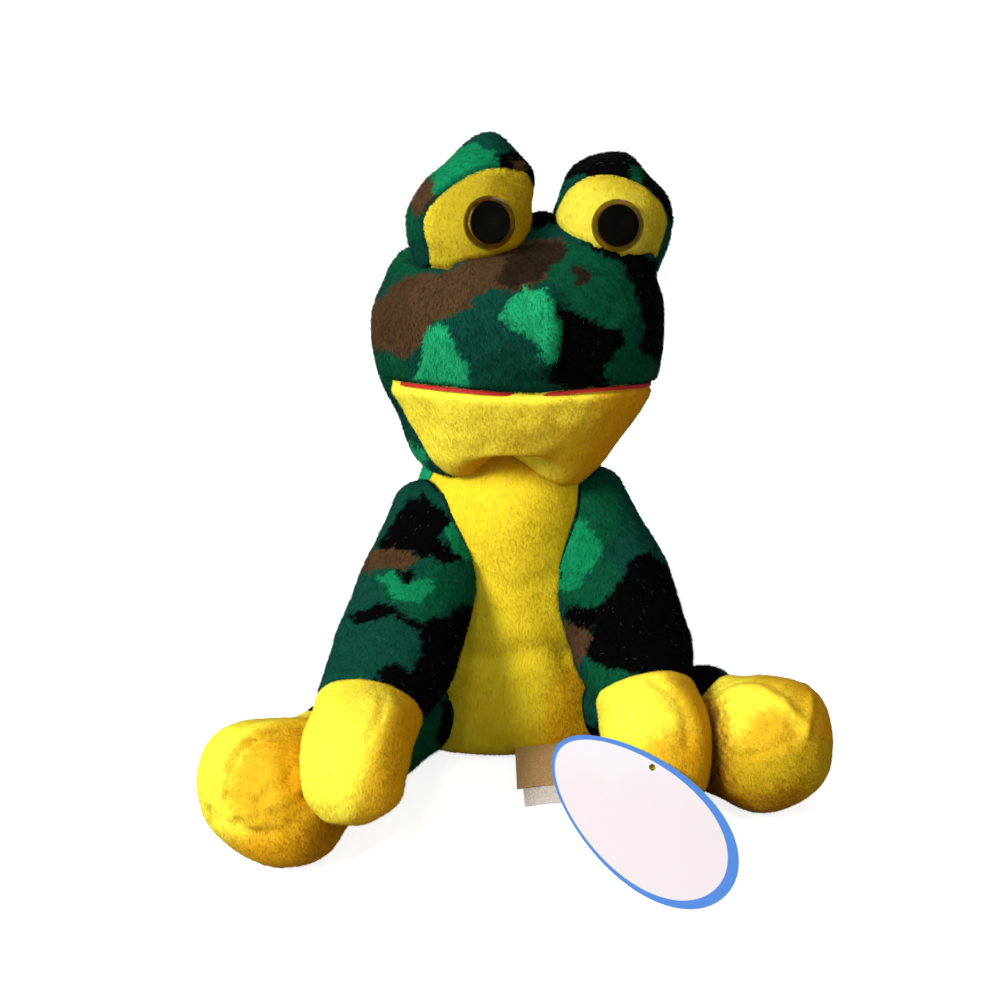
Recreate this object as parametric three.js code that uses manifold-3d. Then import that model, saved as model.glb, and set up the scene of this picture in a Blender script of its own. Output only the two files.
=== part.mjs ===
// A plush frog that sits on its seat with its legs spread and its hands in front.
// Millimetres, +Z up. The frog faces -Y and its own left side is +X. The origin is on the floor.
// Every stuffed form is a cover of short pile cloth round a core of stuffing.

import * as THREE from 'three';
import { mergeVertices } from 'three/addons/utils/BufferGeometryUtils.js';
import Module from 'manifold-3d';

const wasm = await Module();
wasm.setup();

// Cloth, gaps and cuts
const coverThickness = 2.4;
const gap = 0.3;
const turningGap = 0.5;
const floorTrim = 0.5;
const overrun = 150;

// Torso and neck: a pear that ends in a ball, which the head turns on
const torsoCentreY = -3;
const seatHalfWidth = 39;
const seatHalfDepth = 35.5;
const neckHeight = 80;
const neckRadius = 30;
const neckPadThickness = 6;
const neckPadStart = 20;
const bellySeamY = -8;
const pelletBagHalfWidth = 25;
const pelletBagHalfDepth = 22;
const pelletBagHeight = 17;
const torsoHeightShares = [0, 0.045, 0.16, 0.36, 0.58, 0.8];
const torsoBulgeShares = [-0.3, 0.62, 1, 0.93, 0.48, 0.12];

// Head, in its own frame: the neck ball's centre is its origin and the mouth is level
const headTurn = 6;
const headTilt = -17;
const headRoll = 5;
const headHalfWidth = 46;
const muzzleReach = 67.5;
const napeReach = 21;
const headBottom = 4.5;
const headTop = 92;
const mouthHeight = 41;
const mouthSlotHeight = 1.4;
const liningThickness = 0.8;
const liningDepth = 5;
const chinSeamTopY = -20;
const chinSeamFootY = -20;
const headHeightShares = [0, 0.035, 0.1, 0.2, 0.315, 0.43, 0.55, 0.675, 0.775, 0.865, 0.935, 0.98];
const headWidthShares = [0.26, 0.47, 0.6, 0.72, 0.85, 0.957, 1, 1, 0.946, 0.83, 0.62, 0.37];
const headFrontShares = [0.31, 0.46, 0.57, 0.69, 0.805, 0.889, 0.963, 1, 0.963, 0.83, 0.65, 0.49];
const headBackShares = [0.29, 0.57, 0.76, 0.905, 0.976, 1, 1, 0.95, 0.86, 0.67, 0.38, -0.1];
const headRoundnessShare = 0.86;

// Eye domes, on top of the head
const domeHalfWidth = 19.5;
const domeHalfDepth = 18;
const domeHalfHeight = 24.5;
const domeSpread = 22;
const domeCentreY = -40;
const domeSink = 2;
const domeCentreZ = headTop - domeSink;
const patchSeamTilt = 37;
const patchSeamLead = 1;
const patchSeamDrop = 2;

// Safety eyes: a clear lens, a pupil moulded with its shank, and a washer
const eyeSplay = -7;
const eyeSink = 1.2;
const lensRadius = 8;
const lensRimHeight = 1;
const lensHeight = 5.6;
const pupilRadius = 5.9;
const pupilThickness = 1.2;
const shankRadius = 2;
const shankLength = 12;
const washerRadius = 7.2;
const washerThickness = 1.2;
const washerSetBack = 4;
const shankClearance = 0.3;

// Arms: a shoulder high on the torso, then places measured from the shoulder
const shoulderSpread = 29;
const shoulderY = -7;
const shoulderHeight = 82;
const armRootAcross = 16;
const armRootThrough = 12.5;
const upperArmAcross = 20.5;
const upperArmThrough = 13.5;
const cuffAcross = 17.5;
const cuffThrough = 14;
const handAcross = 19;
const handThrough = 17;
const armRootRound = 10;
const fingertipRound = 17;
const cuffShare = 0.63;
const rightElbow = { out: 4, ahead: 25, down: 21 };
const rightForearm = { out: 11.5, ahead: 38, down: 32 };
const rightCuff = { out: 21.5, ahead: 56, down: 42 };
const rightPalm = { out: 26.5, ahead: 78, down: 45 };
const rightFingertip = { out: 30.5, ahead: 91, down: 65 };
const leftElbow = { out: 4, ahead: 24, down: 25 };
const leftForearm = { out: 7, ahead: 37, down: 39 };
const leftCuff = { out: 9, ahead: 51, down: 48 };
const leftPalm = { out: 9.5, ahead: 68, down: 57.5 };
const leftFingertip = { out: 7.5, ahead: 79, down: 79.5 };
const armPlaces = {
  right: [rightElbow, rightForearm, rightCuff, rightPalm, rightFingertip],
  left: [leftElbow, leftForearm, leftCuff, leftPalm, leftFingertip],
};

// Legs: tubes that lie on the floor and end in bulbous feet
const hipSpread = 23;
const hipY = -11;
const legRadius = 15.5;
const footHalfWidth = 23.5;
const footHalfHeight = 21;
const hipRound = 11;
const ankleShare = 0.66;
const footRound = 21;
const legPlaces = {
  right: { reach: 86, splay: 42.5 },
  left: { reach: 79, splay: 41.5 },
};

// Care labels, sewn into the seam at the front of the seat
const labelThickness = 0.4;
const labelRootY = -32;
const beigeLabel = { width: 21, centreX: 4, rootHeight: 5, reach: 28, tipHeight: 2.4 };
const whiteLabel = { width: 22, centreX: 6, rootHeight: 3, reach: 35, tipHeight: 0.3 };
const labelCurlHeight = 1.5;

// Swing tag: an egg-shaped card that leans on the left hand
const cardThickness = 0.5;
const tagLength = 67;
const tagWidth = 37.5;
const tagWideEndShare = 0.16;
const tagSlope = 40;
const tagTwist = 132.5;
const tagCentreX = 27.5;
const tagFootHeight = 0.45;
const tagHoleRadius = 1.1;
const tagHoleAlong = 7.5;
const tagHoleMargin = 2.4;

// Fineness of the meshes
const torsoSides = 24;
const limbSides = 20;
const coreSides = 12;
const capRings = 3;
const limbRings = 6;
const ballRings = 4;
const roundSides = 24;
const lensSteps = 6;
const skullSides = 24;
const skullCoreSides = 14;
const domeSides = 18;
const domeRings = 10;
const seatSteps = 16;
const outlinePoints = 96;

const camouflage = { color: 0x0c6a44, roughness: 0.95, metalness: 0 };
const yellowPile = { color: 0xf5dc1e, roughness: 0.95, metalness: 0 };
const redFelt = { color: 0xc8140c, roughness: 0.95, metalness: 0 };
const fibre = { color: 0xf2f0ea, roughness: 1, metalness: 0 };
const pelletCloth = { color: 0xdedad0, roughness: 1, metalness: 0 };
const clearPlastic = { color: 0xd8b070, roughness: 0.05, metalness: 0, transparent: true, opacity: 0.45 };
const blackPlastic = { color: 0x050505, roughness: 0.2, metalness: 0 };
const washerPlastic = { color: 0xe8e6df, roughness: 0.5, metalness: 0 };
const beigeSatin = { color: 0xcbb08c, roughness: 0.7, metalness: 0 };
const whiteSatin = { color: 0xe6e4e0, roughness: 0.7, metalness: 0 };
const card = { color: 0xf6f6fa, roughness: 0.3, metalness: 0 };

const sides = { left: 1, right: -1 };
const up = new THREE.Vector3(0, 0, 1);

// Solids from geometries and back
function solidOf(geometry) {
  const bare = geometry.clone();
  bare.deleteAttribute('normal');
  bare.deleteAttribute('uv');
  const merged = mergeVertices(bare);
  const vertProperties = merged.attributes.position.array;
  const triVerts = Uint32Array.from(merged.index.array);
  return new wasm.Manifold(new wasm.Mesh({ numProp: 3, vertProperties, triVerts }));
}

function geometryOf(solid) {
  const { vertProperties, triVerts } = solid.getMesh();
  const geometry = new THREE.BufferGeometry();
  geometry.setAttribute('position', new THREE.Float32BufferAttribute(vertProperties, 3));
  geometry.setIndex(Array.from(triVerts));
  geometry.computeVertexNormals();
  return geometry;
}

function joined(solids) {
  return solids.reduce((whole, solid) => whole.add(solid));
}

function trimmed(solid, cutters) {
  return cutters.reduce((rest, cutter) => rest.subtract(cutter), solid);
}

function meshOf(name, geometry, finish) {
  const mesh = new THREE.Mesh(geometry, new THREE.MeshStandardMaterial(finish));
  mesh.name = name;
  return mesh;
}

// A closed skin over a row of oval rings, each with a centre and two half axes
function loft(rings, sideCount, roundnessShare = 1) {
  const positions = [];
  for (const { centre, across, through } of rings) {
    for (let side = 0; side < sideCount; side += 1) {
      const angle = (2 * Math.PI * side) / sideCount;
      const bow = (value) => Math.sign(value) * Math.abs(value) ** roundnessShare;
      const point = centre.clone();
      point.addScaledVector(across, bow(Math.cos(angle)));
      point.addScaledVector(through, bow(Math.sin(angle)));
      positions.push(point.x, point.y, point.z);
    }
  }
  const index = [];
  for (let ring = 0; ring + 1 < rings.length; ring += 1) {
    for (let side = 0; side < sideCount; side += 1) {
      const next = (side + 1) % sideCount;
      const [a, b] = [ring * sideCount + side, ring * sideCount + next];
      const [c, d] = [a + sideCount, b + sideCount];
      index.push(a, b, d, a, d, c);
    }
  }
  const first = rings.length * sideCount;
  const start = rings[0].centre;
  const end = rings[rings.length - 1].centre;
  positions.push(start.x, start.y, start.z, end.x, end.y, end.z);
  for (let side = 0; side < sideCount; side += 1) {
    const next = (side + 1) % sideCount;
    const last = (rings.length - 1) * sideCount;
    index.push(first, next, side);
    index.push(first + 1, last + side, last + next);
  }
  const geometry = new THREE.BufferGeometry();
  geometry.setAttribute('position', new THREE.Float32BufferAttribute(positions, 3));
  geometry.setIndex(index);
  return geometry;
}

// Everything past a plane through a point, on the side that a direction points to
function beyond(point, direction) {
  const block = new THREE.BoxGeometry(2 * overrun, 2 * overrun, overrun);
  block.translate(0, 0, overrun / 2);
  const turn = new THREE.Quaternion().setFromUnitVectors(up, direction.clone().normalize());
  block.applyQuaternion(turn);
  block.translate(point.x, point.y, point.z);
  return solidOf(block);
}

function ball(radius) {
  return new THREE.SphereGeometry(radius, roundSides, roundSides / 2).rotateX(Math.PI / 2);
}

const belowFloor = beyond(new THREE.Vector3(), up.clone().negate());

// Torso
function torsoForm(inset, sideCount) {
  const rings = [];
  const bottom = inset - floorTrim;
  torsoHeightShares.forEach((heightShare, place) => {
    const bulge = torsoBulgeShares[place];
    const halfWidth = neckRadius + (seatHalfWidth - neckRadius) * bulge - inset;
    const halfDepth = neckRadius + (seatHalfDepth - neckRadius) * bulge - inset;
    rings.push({
      centre: new THREE.Vector3(0, torsoCentreY, bottom + (neckHeight - bottom) * heightShare),
      across: new THREE.Vector3(halfWidth, 0, 0),
      through: new THREE.Vector3(0, halfDepth, 0),
    });
  });
  const radius = neckRadius - inset;
  for (let ring = 0; ring < ballRings; ring += 1) {
    const angle = (Math.PI / 2) * (ring / ballRings);
    rings.push({
      centre: new THREE.Vector3(0, torsoCentreY, neckHeight + radius * Math.sin(angle)),
      across: new THREE.Vector3(radius * Math.cos(angle), 0, 0),
      through: new THREE.Vector3(0, radius * Math.cos(angle), 0),
    });
  }
  return solidOf(loft(rings, sideCount));
}

const neckCentre = new THREE.Vector3(0, torsoCentreY, neckHeight);

function neckBall(radius) {
  return solidOf(ball(radius).translate(neckCentre.x, neckCentre.y, neckCentre.z));
}

function padForm(clearance) {
  const floor = new THREE.Vector3(0, 0, neckHeight + neckPadStart - clearance);
  const cap = neckBall(neckRadius + overrun * Math.sign(clearance));
  return cap.subtract(neckBall(neckRadius - neckPadThickness - clearance)).intersect(beyond(floor, up));
}

const torsoOuter = torsoForm(0, torsoSides);
const torsoCutter = torsoForm(-gap, torsoSides);
const padCutter = padForm(gap);
const torsoShell = trimmed(torsoOuter, [torsoForm(coverThickness, coreSides), padCutter, belowFloor]);
const frontward = new THREE.Vector3(0, -1, 0);
const backward = frontward.clone().negate();
const bellySeamFront = new THREE.Vector3(0, bellySeamY - gap / 2, 0);
const bellySeamBack = new THREE.Vector3(0, bellySeamY + gap / 2, 0);
const bagShape = new THREE.SphereGeometry(1, roundSides, coreSides);
bagShape.rotateX(Math.PI / 2);
const bagCentreZ = coverThickness;

function pelletBag(clearance) {
  const shape = bagShape.clone();
  shape.scale(pelletBagHalfWidth + clearance, pelletBagHalfDepth + clearance, pelletBagHeight + clearance);
  shape.translate(0, torsoCentreY, bagCentreZ);
  return solidOf(shape);
}

function buildTorso() {
  const group = new THREE.Group();
  const core = torsoForm(coverThickness + gap, coreSides);
  const belly = torsoShell.subtract(beyond(bellySeamFront, backward));
  const back = torsoShell.subtract(beyond(bellySeamBack, frontward));
  const stuffing = trimmed(core, [padCutter, pelletBag(gap)]);
  const bag = core.intersect(pelletBag(0));
  group.add(meshOf('torso_belly_cover', geometryOf(belly), yellowPile));
  group.add(meshOf('torso_back_cover', geometryOf(back), camouflage));
  group.add(meshOf('torso_stuffing', geometryOf(stuffing), fibre));
  group.add(meshOf('seat_pellet_bag', geometryOf(bag), pelletCloth));
  group.add(meshOf('neck_stuffing_pad', geometryOf(padForm(0)), fibre));
  return group;
}

// Head
function skullForm(inset, sideCount) {
  const middle = (headBottom + headTop) / 2;
  const halfHeight = (headTop - headBottom) / 2;
  const rings = headHeightShares.map((heightShare, place) => {
    const front = -muzzleReach * headFrontShares[place] + inset;
    const back = napeReach * headBackShares[place] - inset;
    const rise = (2 * heightShare - 1) * (halfHeight - inset);
    return {
      centre: new THREE.Vector3(0, (front + back) / 2, middle + rise),
      across: new THREE.Vector3(headHalfWidth * headWidthShares[place] - inset, 0, 0),
      through: new THREE.Vector3(0, (back - front) / 2, 0),
    };
  });
  return solidOf(loft(rings, sideCount, headRoundnessShare));
}

function domeForm(side, inset) {
  const shape = new THREE.SphereGeometry(1, inset > 0 ? coreSides : domeSides, domeRings);
  shape.rotateX(Math.PI / 2);
  shape.scale(domeHalfWidth - inset, domeHalfDepth - inset, domeHalfHeight - inset);
  shape.translate(side * domeSpread, domeCentreY, domeCentreZ);
  return solidOf(shape);
}

function mouthSlab(height) {
  const low = new THREE.Vector3(0, 0, mouthHeight - height / 2);
  const slab = beyond(low, up);
  const high = new THREE.Vector3(0, 0, mouthHeight + height / 2);
  return slab.subtract(beyond(high, up));
}

// The space in front of the mouth's corners
function mouthSpace(clearance = 0) {
  const corner = new THREE.Vector3(0, chinSeamTopY - clearance, 0);
  return beyond(corner, frontward);
}

// The space in front of the slanted side seams and below the mouth
function chinSpace(clearance) {
  const slant = new THREE.Vector3(0, mouthHeight, chinSeamFootY - chinSeamTopY).normalize();
  const seam = new THREE.Vector3(0, chinSeamTopY, mouthHeight).addScaledVector(slant, clearance);
  const low = new THREE.Vector3(0, 0, mouthHeight - mouthSlotHeight / 2 + clearance);
  const outside = beyond(seam, slant);
  return beyond(low, up.clone().negate()).subtract(outside);
}

// The eye's frame: its origin on the sunk seat of the lens, +Z out of the dome
function eyeFrame(side) {
  const turn = new THREE.Euler(Math.PI / 2, 0, side * THREE.MathUtils.degToRad(eyeSplay), 'ZYX');
  const frame = new THREE.Matrix4().makeRotationFromEuler(turn);
  const outward = new THREE.Vector3(0, 0, 1).transformDirection(frame);
  const reach = Math.hypot(outward.x * domeHalfWidth, outward.y * domeHalfDepth);
  const seat = new THREE.Vector3(side * domeSpread, domeCentreY, domeCentreZ);
  frame.setPosition(seat.addScaledVector(outward, reach - eyeSink));
  return frame;
}

function turned(profile) {
  const points = profile.map(([radius, height]) => new THREE.Vector2(radius, height));
  return new THREE.LatheGeometry(points, roundSides).rotateX(Math.PI / 2);
}

function lensGeometry() {
  const pocketRadius = pupilRadius + gap;
  const pocketDepth = gap + pupilThickness + gap;
  const profile = [[0, pocketDepth], [pocketRadius, pocketDepth], [pocketRadius, gap], [lensRadius, gap]];
  for (let step = 0; step <= lensSteps; step += 1) {
    const angle = (Math.PI / 2) * (step / lensSteps);
    const rise = (lensHeight - lensRimHeight) * Math.sin(angle);
    profile.push([step === lensSteps ? 0 : lensRadius * Math.cos(angle), lensRimHeight + rise]);
  }
  return turned(profile);
}

function pupilGeometry() {
  return turned([
    [0, -shankLength],
    [shankRadius, -shankLength],
    [shankRadius, gap],
    [pupilRadius, gap],
    [pupilRadius, gap + pupilThickness],
    [0, gap + pupilThickness],
  ]);
}

function washerGeometry() {
  const bore = shankRadius + shankClearance;
  const back = -washerSetBack - washerThickness;
  return turned([
    [bore, back],
    [washerRadius, back],
    [washerRadius, -washerSetBack],
    [bore, -washerSetBack],
    [bore, back],
  ]);
}

function cylinderBetween(radius, low, high, frame) {
  const shape = turned([[0, low], [radius, low], [radius, high], [0, high]]);
  return solidOf(shape.applyMatrix4(frame));
}

function buildHead() {
  const group = new THREE.Group();
  const skull = skullForm(0, skullSides);
  const skullInside = skullForm(coverThickness, skullCoreSides);
  const skullCore = skullForm(coverThickness + gap, skullCoreSides);
  const neckCup = solidOf(ball(neckRadius + turningGap));
  const shell = trimmed(skull, [skullInside, neckCup]);
  const domes = Object.values(sides).map((side) => domeForm(side, 0));
  const domeHoles = Object.values(sides).map((side) => domeForm(side, -gap));
  const domeCores = Object.values(sides).map((side) => domeForm(side, coverThickness + gap));
  const slot = mouthSlab(mouthSlotHeight);
  const crown = trimmed(shell, [chinSpace(gap), slot.intersect(mouthSpace()), ...domeHoles]);
  const chin = trimmed(shell.intersect(chinSpace(0)), domeHoles);
  const liningOuter = trimmed(skull, [skullForm(liningDepth, skullCoreSides)]);
  const lining = liningOuter.intersect(mouthSlab(liningThickness)).intersect(mouthSpace(gap));
  group.add(meshOf('head_crown_cover', geometryOf(crown), camouflage));
  group.add(meshOf('head_chin_cover', geometryOf(chin), yellowPile));
  group.add(meshOf('mouth_lining', geometryOf(lining), redFelt));

  const seamDirection = new THREE.Vector3(0, -Math.cos(THREE.MathUtils.degToRad(patchSeamTilt)), 0);
  seamDirection.z = -Math.sin(THREE.MathUtils.degToRad(patchSeamTilt));
  const seamPoint = new THREE.Vector3(0, domeCentreY - patchSeamLead, domeCentreZ - patchSeamDrop);
  const patchSide = beyond(seamPoint.clone().addScaledVector(seamDirection, gap / 2), seamDirection);
  const hoodSide = beyond(seamPoint.clone().addScaledVector(seamDirection, -gap / 2), seamDirection.clone().negate());

  let stuffing = joined([skullCore, ...domeCores]).subtract(neckCup);
  stuffing = stuffing.subtract(slot.intersect(mouthSpace()));
  Object.entries(sides).forEach(([name, side], place) => {
    const frame = eyeFrame(side);
    const domeShell = trimmed(domes[place], [domeForm(side, coverThickness), skullInside]);
    const seatCut = cylinderBetween(lensRadius + gap, 0, overrun, frame);
    const shankHole = cylinderBetween(shankRadius + shankClearance, -shankLength - gap, overrun, frame);
    const washerPocket = cylinderBetween(washerRadius + gap, -washerSetBack - washerThickness - gap, overrun, frame);
    const hood = domeShell.intersect(hoodSide);
    const patch = trimmed(domeShell.intersect(patchSide), [seatCut, shankHole]);
    stuffing = trimmed(stuffing, [shankHole, washerPocket]);
    group.add(meshOf(`eye_hood_${name}`, geometryOf(hood), camouflage));
    group.add(meshOf(`eye_patch_${name}`, geometryOf(patch), yellowPile));
    group.add(meshOf(`eye_lens_${name}`, lensGeometry().applyMatrix4(frame), clearPlastic));
    group.add(meshOf(`eye_pupil_${name}`, pupilGeometry().applyMatrix4(frame), blackPlastic));
    group.add(meshOf(`eye_washer_${name}`, washerGeometry().applyMatrix4(frame), washerPlastic));
  });
  group.add(meshOf('head_stuffing', geometryOf(stuffing), fibre));

  const { degToRad } = THREE.MathUtils;
  group.rotation.set(degToRad(headTilt), degToRad(headRoll), degToRad(headTurn), 'ZXY');
  group.position.copy(neckCentre);
  return group;
}

// Limbs: a form that swells and tapers along a bent line, with rounded ends
function limbForm(stations, acrossHint, rootRound, tipRound, inset, sideCount) {
  const line = new THREE.CatmullRomCurve3(stations.map((station) => station.point), false, 'centripetal');
  const girths = stations.map((station) => new THREE.Vector3(station.across, station.through, 0));
  const girth = new THREE.CatmullRomCurve3(girths, false, 'centripetal');
  const length = line.getLength();
  const rows = [];
  for (let cap = 1; cap <= capRings; cap += 1) {
    const angle = (Math.PI / 2) * (cap / capRings);
    rows.push({ distance: inset + (rootRound - inset) * (1 - Math.cos(angle)), share: Math.sin(angle) });
  }
  const middle = length - rootRound - tipRound;
  for (let ring = 1; ring < limbRings; ring += 1) {
    rows.push({ distance: rootRound + (middle * ring) / limbRings, share: 1 });
  }
  for (let cap = capRings; cap >= 1; cap -= 1) {
    const angle = (Math.PI / 2) * (cap / capRings);
    rows.push({ distance: length - inset - (tipRound - inset) * (1 - Math.cos(angle)), share: Math.sin(angle) });
  }
  const rings = rows.map(({ distance, share }) => {
    const place = THREE.MathUtils.clamp(distance / length, 0, 1);
    const tangent = line.getTangentAt(place);
    const centre = line.getPointAt(place).addScaledVector(tangent, distance - place * length);
    const size = girth.getPoint(line.getUtoTmapping(place, null));
    const through = new THREE.Vector3().crossVectors(tangent, acrossHint).normalize();
    const across = new THREE.Vector3().crossVectors(through, tangent);
    return {
      centre,
      across: across.multiplyScalar((size.x - inset) * share),
      through: through.multiplyScalar((size.y - inset) * share),
    };
  });
  return { solid: solidOf(loft(rings, sideCount)), line };
}

function limbPieces(name, stations, acrossHint, rootRound, tipRound, seamShare, cutters, names) {
  const form = (inset, sideCount) => limbForm(stations, acrossHint, rootRound, tipRound, inset, sideCount);
  const { solid: outer, line } = form(0, limbSides);
  const shell = trimmed(outer, [form(coverThickness, coreSides).solid, ...cutters]);
  const seam = line.getPointAt(seamShare);
  const outward = line.getTangentAt(seamShare);
  const inward = outward.clone().negate();
  const limbCover = shell.subtract(beyond(seam.clone().addScaledVector(inward, gap / 2), outward));
  const endCover = shell.subtract(beyond(seam.clone().addScaledVector(outward, gap / 2), inward));
  const core = trimmed(form(coverThickness + gap, coreSides).solid, cutters);
  const group = new THREE.Group();
  group.add(meshOf(`${names.limb}_cover_${name}`, geometryOf(limbCover), camouflage));
  group.add(meshOf(`${names.end}_cover_${name}`, geometryOf(endCover), yellowPile));
  group.add(meshOf(`${names.limb}_stuffing_${name}`, geometryOf(core), fibre));
  return { group, whole: trimmed(form(-gap, limbSides).solid, [belowFloor]), endSolid: endCover };
}

function buildLeg(name, side) {
  const { reach, splay } = legPlaces[name];
  const angle = THREE.MathUtils.degToRad(splay);
  const heading = new THREE.Vector3(side * Math.sin(angle), -Math.cos(angle), 0);
  const hip = new THREE.Vector3(side * hipSpread, hipY, legRadius - floorTrim);
  const place = (share) => hip.clone().addScaledVector(heading, reach * share);
  const raised = (point, radius) => point.setZ(radius - floorTrim);
  const tipDistance = reach + footHalfWidth;
  const stations = [
    { point: place(0), across: legRadius, through: legRadius },
    { point: place(ankleShare / 2), across: legRadius, through: legRadius },
    { point: place(ankleShare), across: legRadius, through: legRadius },
    { point: raised(place(1), footHalfHeight), across: footHalfWidth, through: footHalfHeight },
    {
      point: raised(place(tipDistance / reach), footHalfHeight),
      across: footHalfWidth,
      through: footHalfHeight,
    },
  ];
  const acrossHint = new THREE.Vector3().crossVectors(heading, up);
  const seamShare = (ankleShare * reach) / tipDistance;
  return limbPieces(name, stations, acrossHint, hipRound, footRound, seamShare, [torsoCutter, belowFloor], {
    limb: 'leg',
    end: 'foot',
  });
}

function buildArm(name, side, legs) {
  const shoulder = new THREE.Vector3(side * shoulderSpread, shoulderY, shoulderHeight);
  const spot = ({ out, ahead, down }) => shoulder.clone().add(new THREE.Vector3(side * out, -ahead, -down));
  const [elbow, forearm, cuff, palm, fingertip] = armPlaces[name].map(spot);
  const stations = [
    { point: shoulder, across: armRootAcross, through: armRootThrough },
    { point: elbow, across: upperArmAcross, through: upperArmThrough },
    { point: forearm, across: upperArmAcross, through: upperArmThrough },
    { point: cuff, across: cuffAcross, through: cuffThrough },
    { point: palm, across: handAcross, through: handThrough },
    { point: fingertip, across: handAcross, through: handThrough },
  ];
  const acrossHint = new THREE.Vector3(1, 0, 0);
  const cutters = [torsoCutter, belowFloor, ...legs.map((leg) => leg.whole)];
  return limbPieces(name, stations, acrossHint, armRootRound, fingertipRound, cuffShare, cutters, {
    limb: 'arm',
    end: 'hand',
  });
}

// Care labels: thin strips that curl from the seam to the floor
function labelGeometry({ width, centreX, rootHeight, reach, tipHeight }) {
  const middle = { y: labelRootY - reach / 2, z: (rootHeight + tipHeight) / 2 + labelCurlHeight };
  const outline = new THREE.Shape();
  outline.moveTo(labelRootY, rootHeight);
  outline.quadraticCurveTo(middle.y, middle.z, labelRootY - reach, tipHeight);
  outline.lineTo(labelRootY - reach, tipHeight + labelThickness);
  outline.quadraticCurveTo(middle.y, middle.z + labelThickness, labelRootY, rootHeight + labelThickness);
  outline.closePath();
  const strip = new THREE.ExtrudeGeometry(outline, { depth: width, bevelEnabled: false, curveSegments: 8 });
  strip.rotateX(Math.PI / 2);
  strip.rotateZ(Math.PI / 2);
  return strip.translate(centreX - width / 2, 0, 0);
}

function buildLabels() {
  const group = new THREE.Group();
  const beige = solidOf(labelGeometry(beigeLabel)).subtract(torsoCutter);
  const white = solidOf(labelGeometry(whiteLabel)).subtract(torsoCutter);
  group.add(meshOf('care_label_beige', geometryOf(beige), beigeSatin));
  group.add(meshOf('care_label_white', geometryOf(white), whiteSatin));
  return group;
}

// Swing tag: its own frame has +Z out of the printed face and the origin at the egg's middle
function tagGeometry() {
  const halfWidthAt = (cosine, sine) => (tagWidth / 2) * sine * (1 + tagWideEndShare * cosine);
  const eggPoints = [];
  for (let point = 0; point < outlinePoints; point += 1) {
    const angle = (2 * Math.PI * point) / outlinePoints;
    const aside = halfWidthAt(Math.cos(angle), Math.sin(angle));
    eggPoints.push(new THREE.Vector2((tagLength / 2) * Math.cos(angle), aside));
  }
  const holeCosine = (2 * tagHoleAlong) / tagLength;
  const edge = halfWidthAt(-holeCosine, Math.sqrt(1 - holeCosine ** 2));
  const holePoints = [];
  for (let point = 0; point < coreSides; point += 1) {
    const angle = (-2 * Math.PI * point) / coreSides;
    const along = tagHoleRadius * Math.cos(angle) - tagHoleAlong;
    holePoints.push(new THREE.Vector2(along, tagHoleRadius * Math.sin(angle) + edge - tagHoleMargin - tagHoleRadius));
  }
  const outline = new THREE.Shape(eggPoints);
  outline.holes.push(new THREE.Path(holePoints));
  return new THREE.ExtrudeGeometry(outline, { depth: cardThickness, bevelEnabled: false });
}

// The card slides back until it touches the hand, and then keeps a gap to it
function buildTag(hand) {
  const slope = THREE.MathUtils.degToRad(tagSlope);
  const geometry = tagGeometry();
  geometry.rotateZ(THREE.MathUtils.degToRad(tagTwist) - Math.PI);
  geometry.computeBoundingBox();
  const height = tagFootHeight - geometry.boundingBox.min.y * Math.sin(slope);
  geometry.rotateX(slope);
  let clearY = shoulderY - overrun;
  let touchingY = shoulderY - leftPalm.ahead;
  for (let step = 0; step < seatSteps; step += 1) {
    const middleY = (clearY + touchingY) / 2;
    const trial = solidOf(geometry.clone().translate(tagCentreX, middleY, height));
    if (trial.intersect(hand).getMesh().triVerts.length > 0) {
      touchingY = middleY;
    } else {
      clearY = middleY;
    }
  }
  const mesh = meshOf('swing_tag', geometry, card);
  mesh.position.set(tagCentreX, clearY - gap / Math.sin(slope), height);
  return mesh;
}

const frog = new THREE.Group();
frog.name = 'plush_frog';
frog.add(buildTorso());
frog.add(buildHead());
const legs = Object.entries(sides).map(([name, side]) => buildLeg(name, side));
const arms = Object.entries(sides).map(([name, side]) => buildArm(name, side, legs));
[...legs, ...arms].forEach((limb) => frog.add(limb.group));
frog.add(buildLabels());
frog.add(buildTag(arms[0].endSolid));

export default frog;
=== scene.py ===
"""A plush frog that sits in a white studio, built round its packed construction.

The covers are short pile cloth over stuffed forms. Each form is a fine grid of points in
millimetres, shaped by swells, grooves and ridges, pressed against its neighbours, cut along its
seams, given a thickness and covered with pile.
"""

import logging
import math
from dataclasses import dataclass, field
from enum import Enum
from typing import Any, Sequence

import bpy
import numpy as np
from mathutils import Matrix, Vector
from mathutils.bvhtree import BVHTree


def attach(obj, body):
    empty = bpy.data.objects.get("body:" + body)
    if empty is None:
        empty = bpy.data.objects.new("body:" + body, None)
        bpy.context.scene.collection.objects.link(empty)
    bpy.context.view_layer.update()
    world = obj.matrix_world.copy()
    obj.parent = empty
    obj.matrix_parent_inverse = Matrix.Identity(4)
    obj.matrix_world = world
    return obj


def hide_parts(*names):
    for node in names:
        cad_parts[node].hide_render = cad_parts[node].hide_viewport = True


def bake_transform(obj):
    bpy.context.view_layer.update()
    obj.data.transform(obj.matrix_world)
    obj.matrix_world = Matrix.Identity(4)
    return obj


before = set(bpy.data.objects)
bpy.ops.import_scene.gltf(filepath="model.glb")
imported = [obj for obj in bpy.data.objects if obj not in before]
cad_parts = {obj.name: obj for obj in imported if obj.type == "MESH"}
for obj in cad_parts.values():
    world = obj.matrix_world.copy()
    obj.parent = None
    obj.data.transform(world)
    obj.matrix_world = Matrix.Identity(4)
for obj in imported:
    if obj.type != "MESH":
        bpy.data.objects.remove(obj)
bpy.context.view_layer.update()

log = logging.getLogger("plush_frog")

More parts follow.
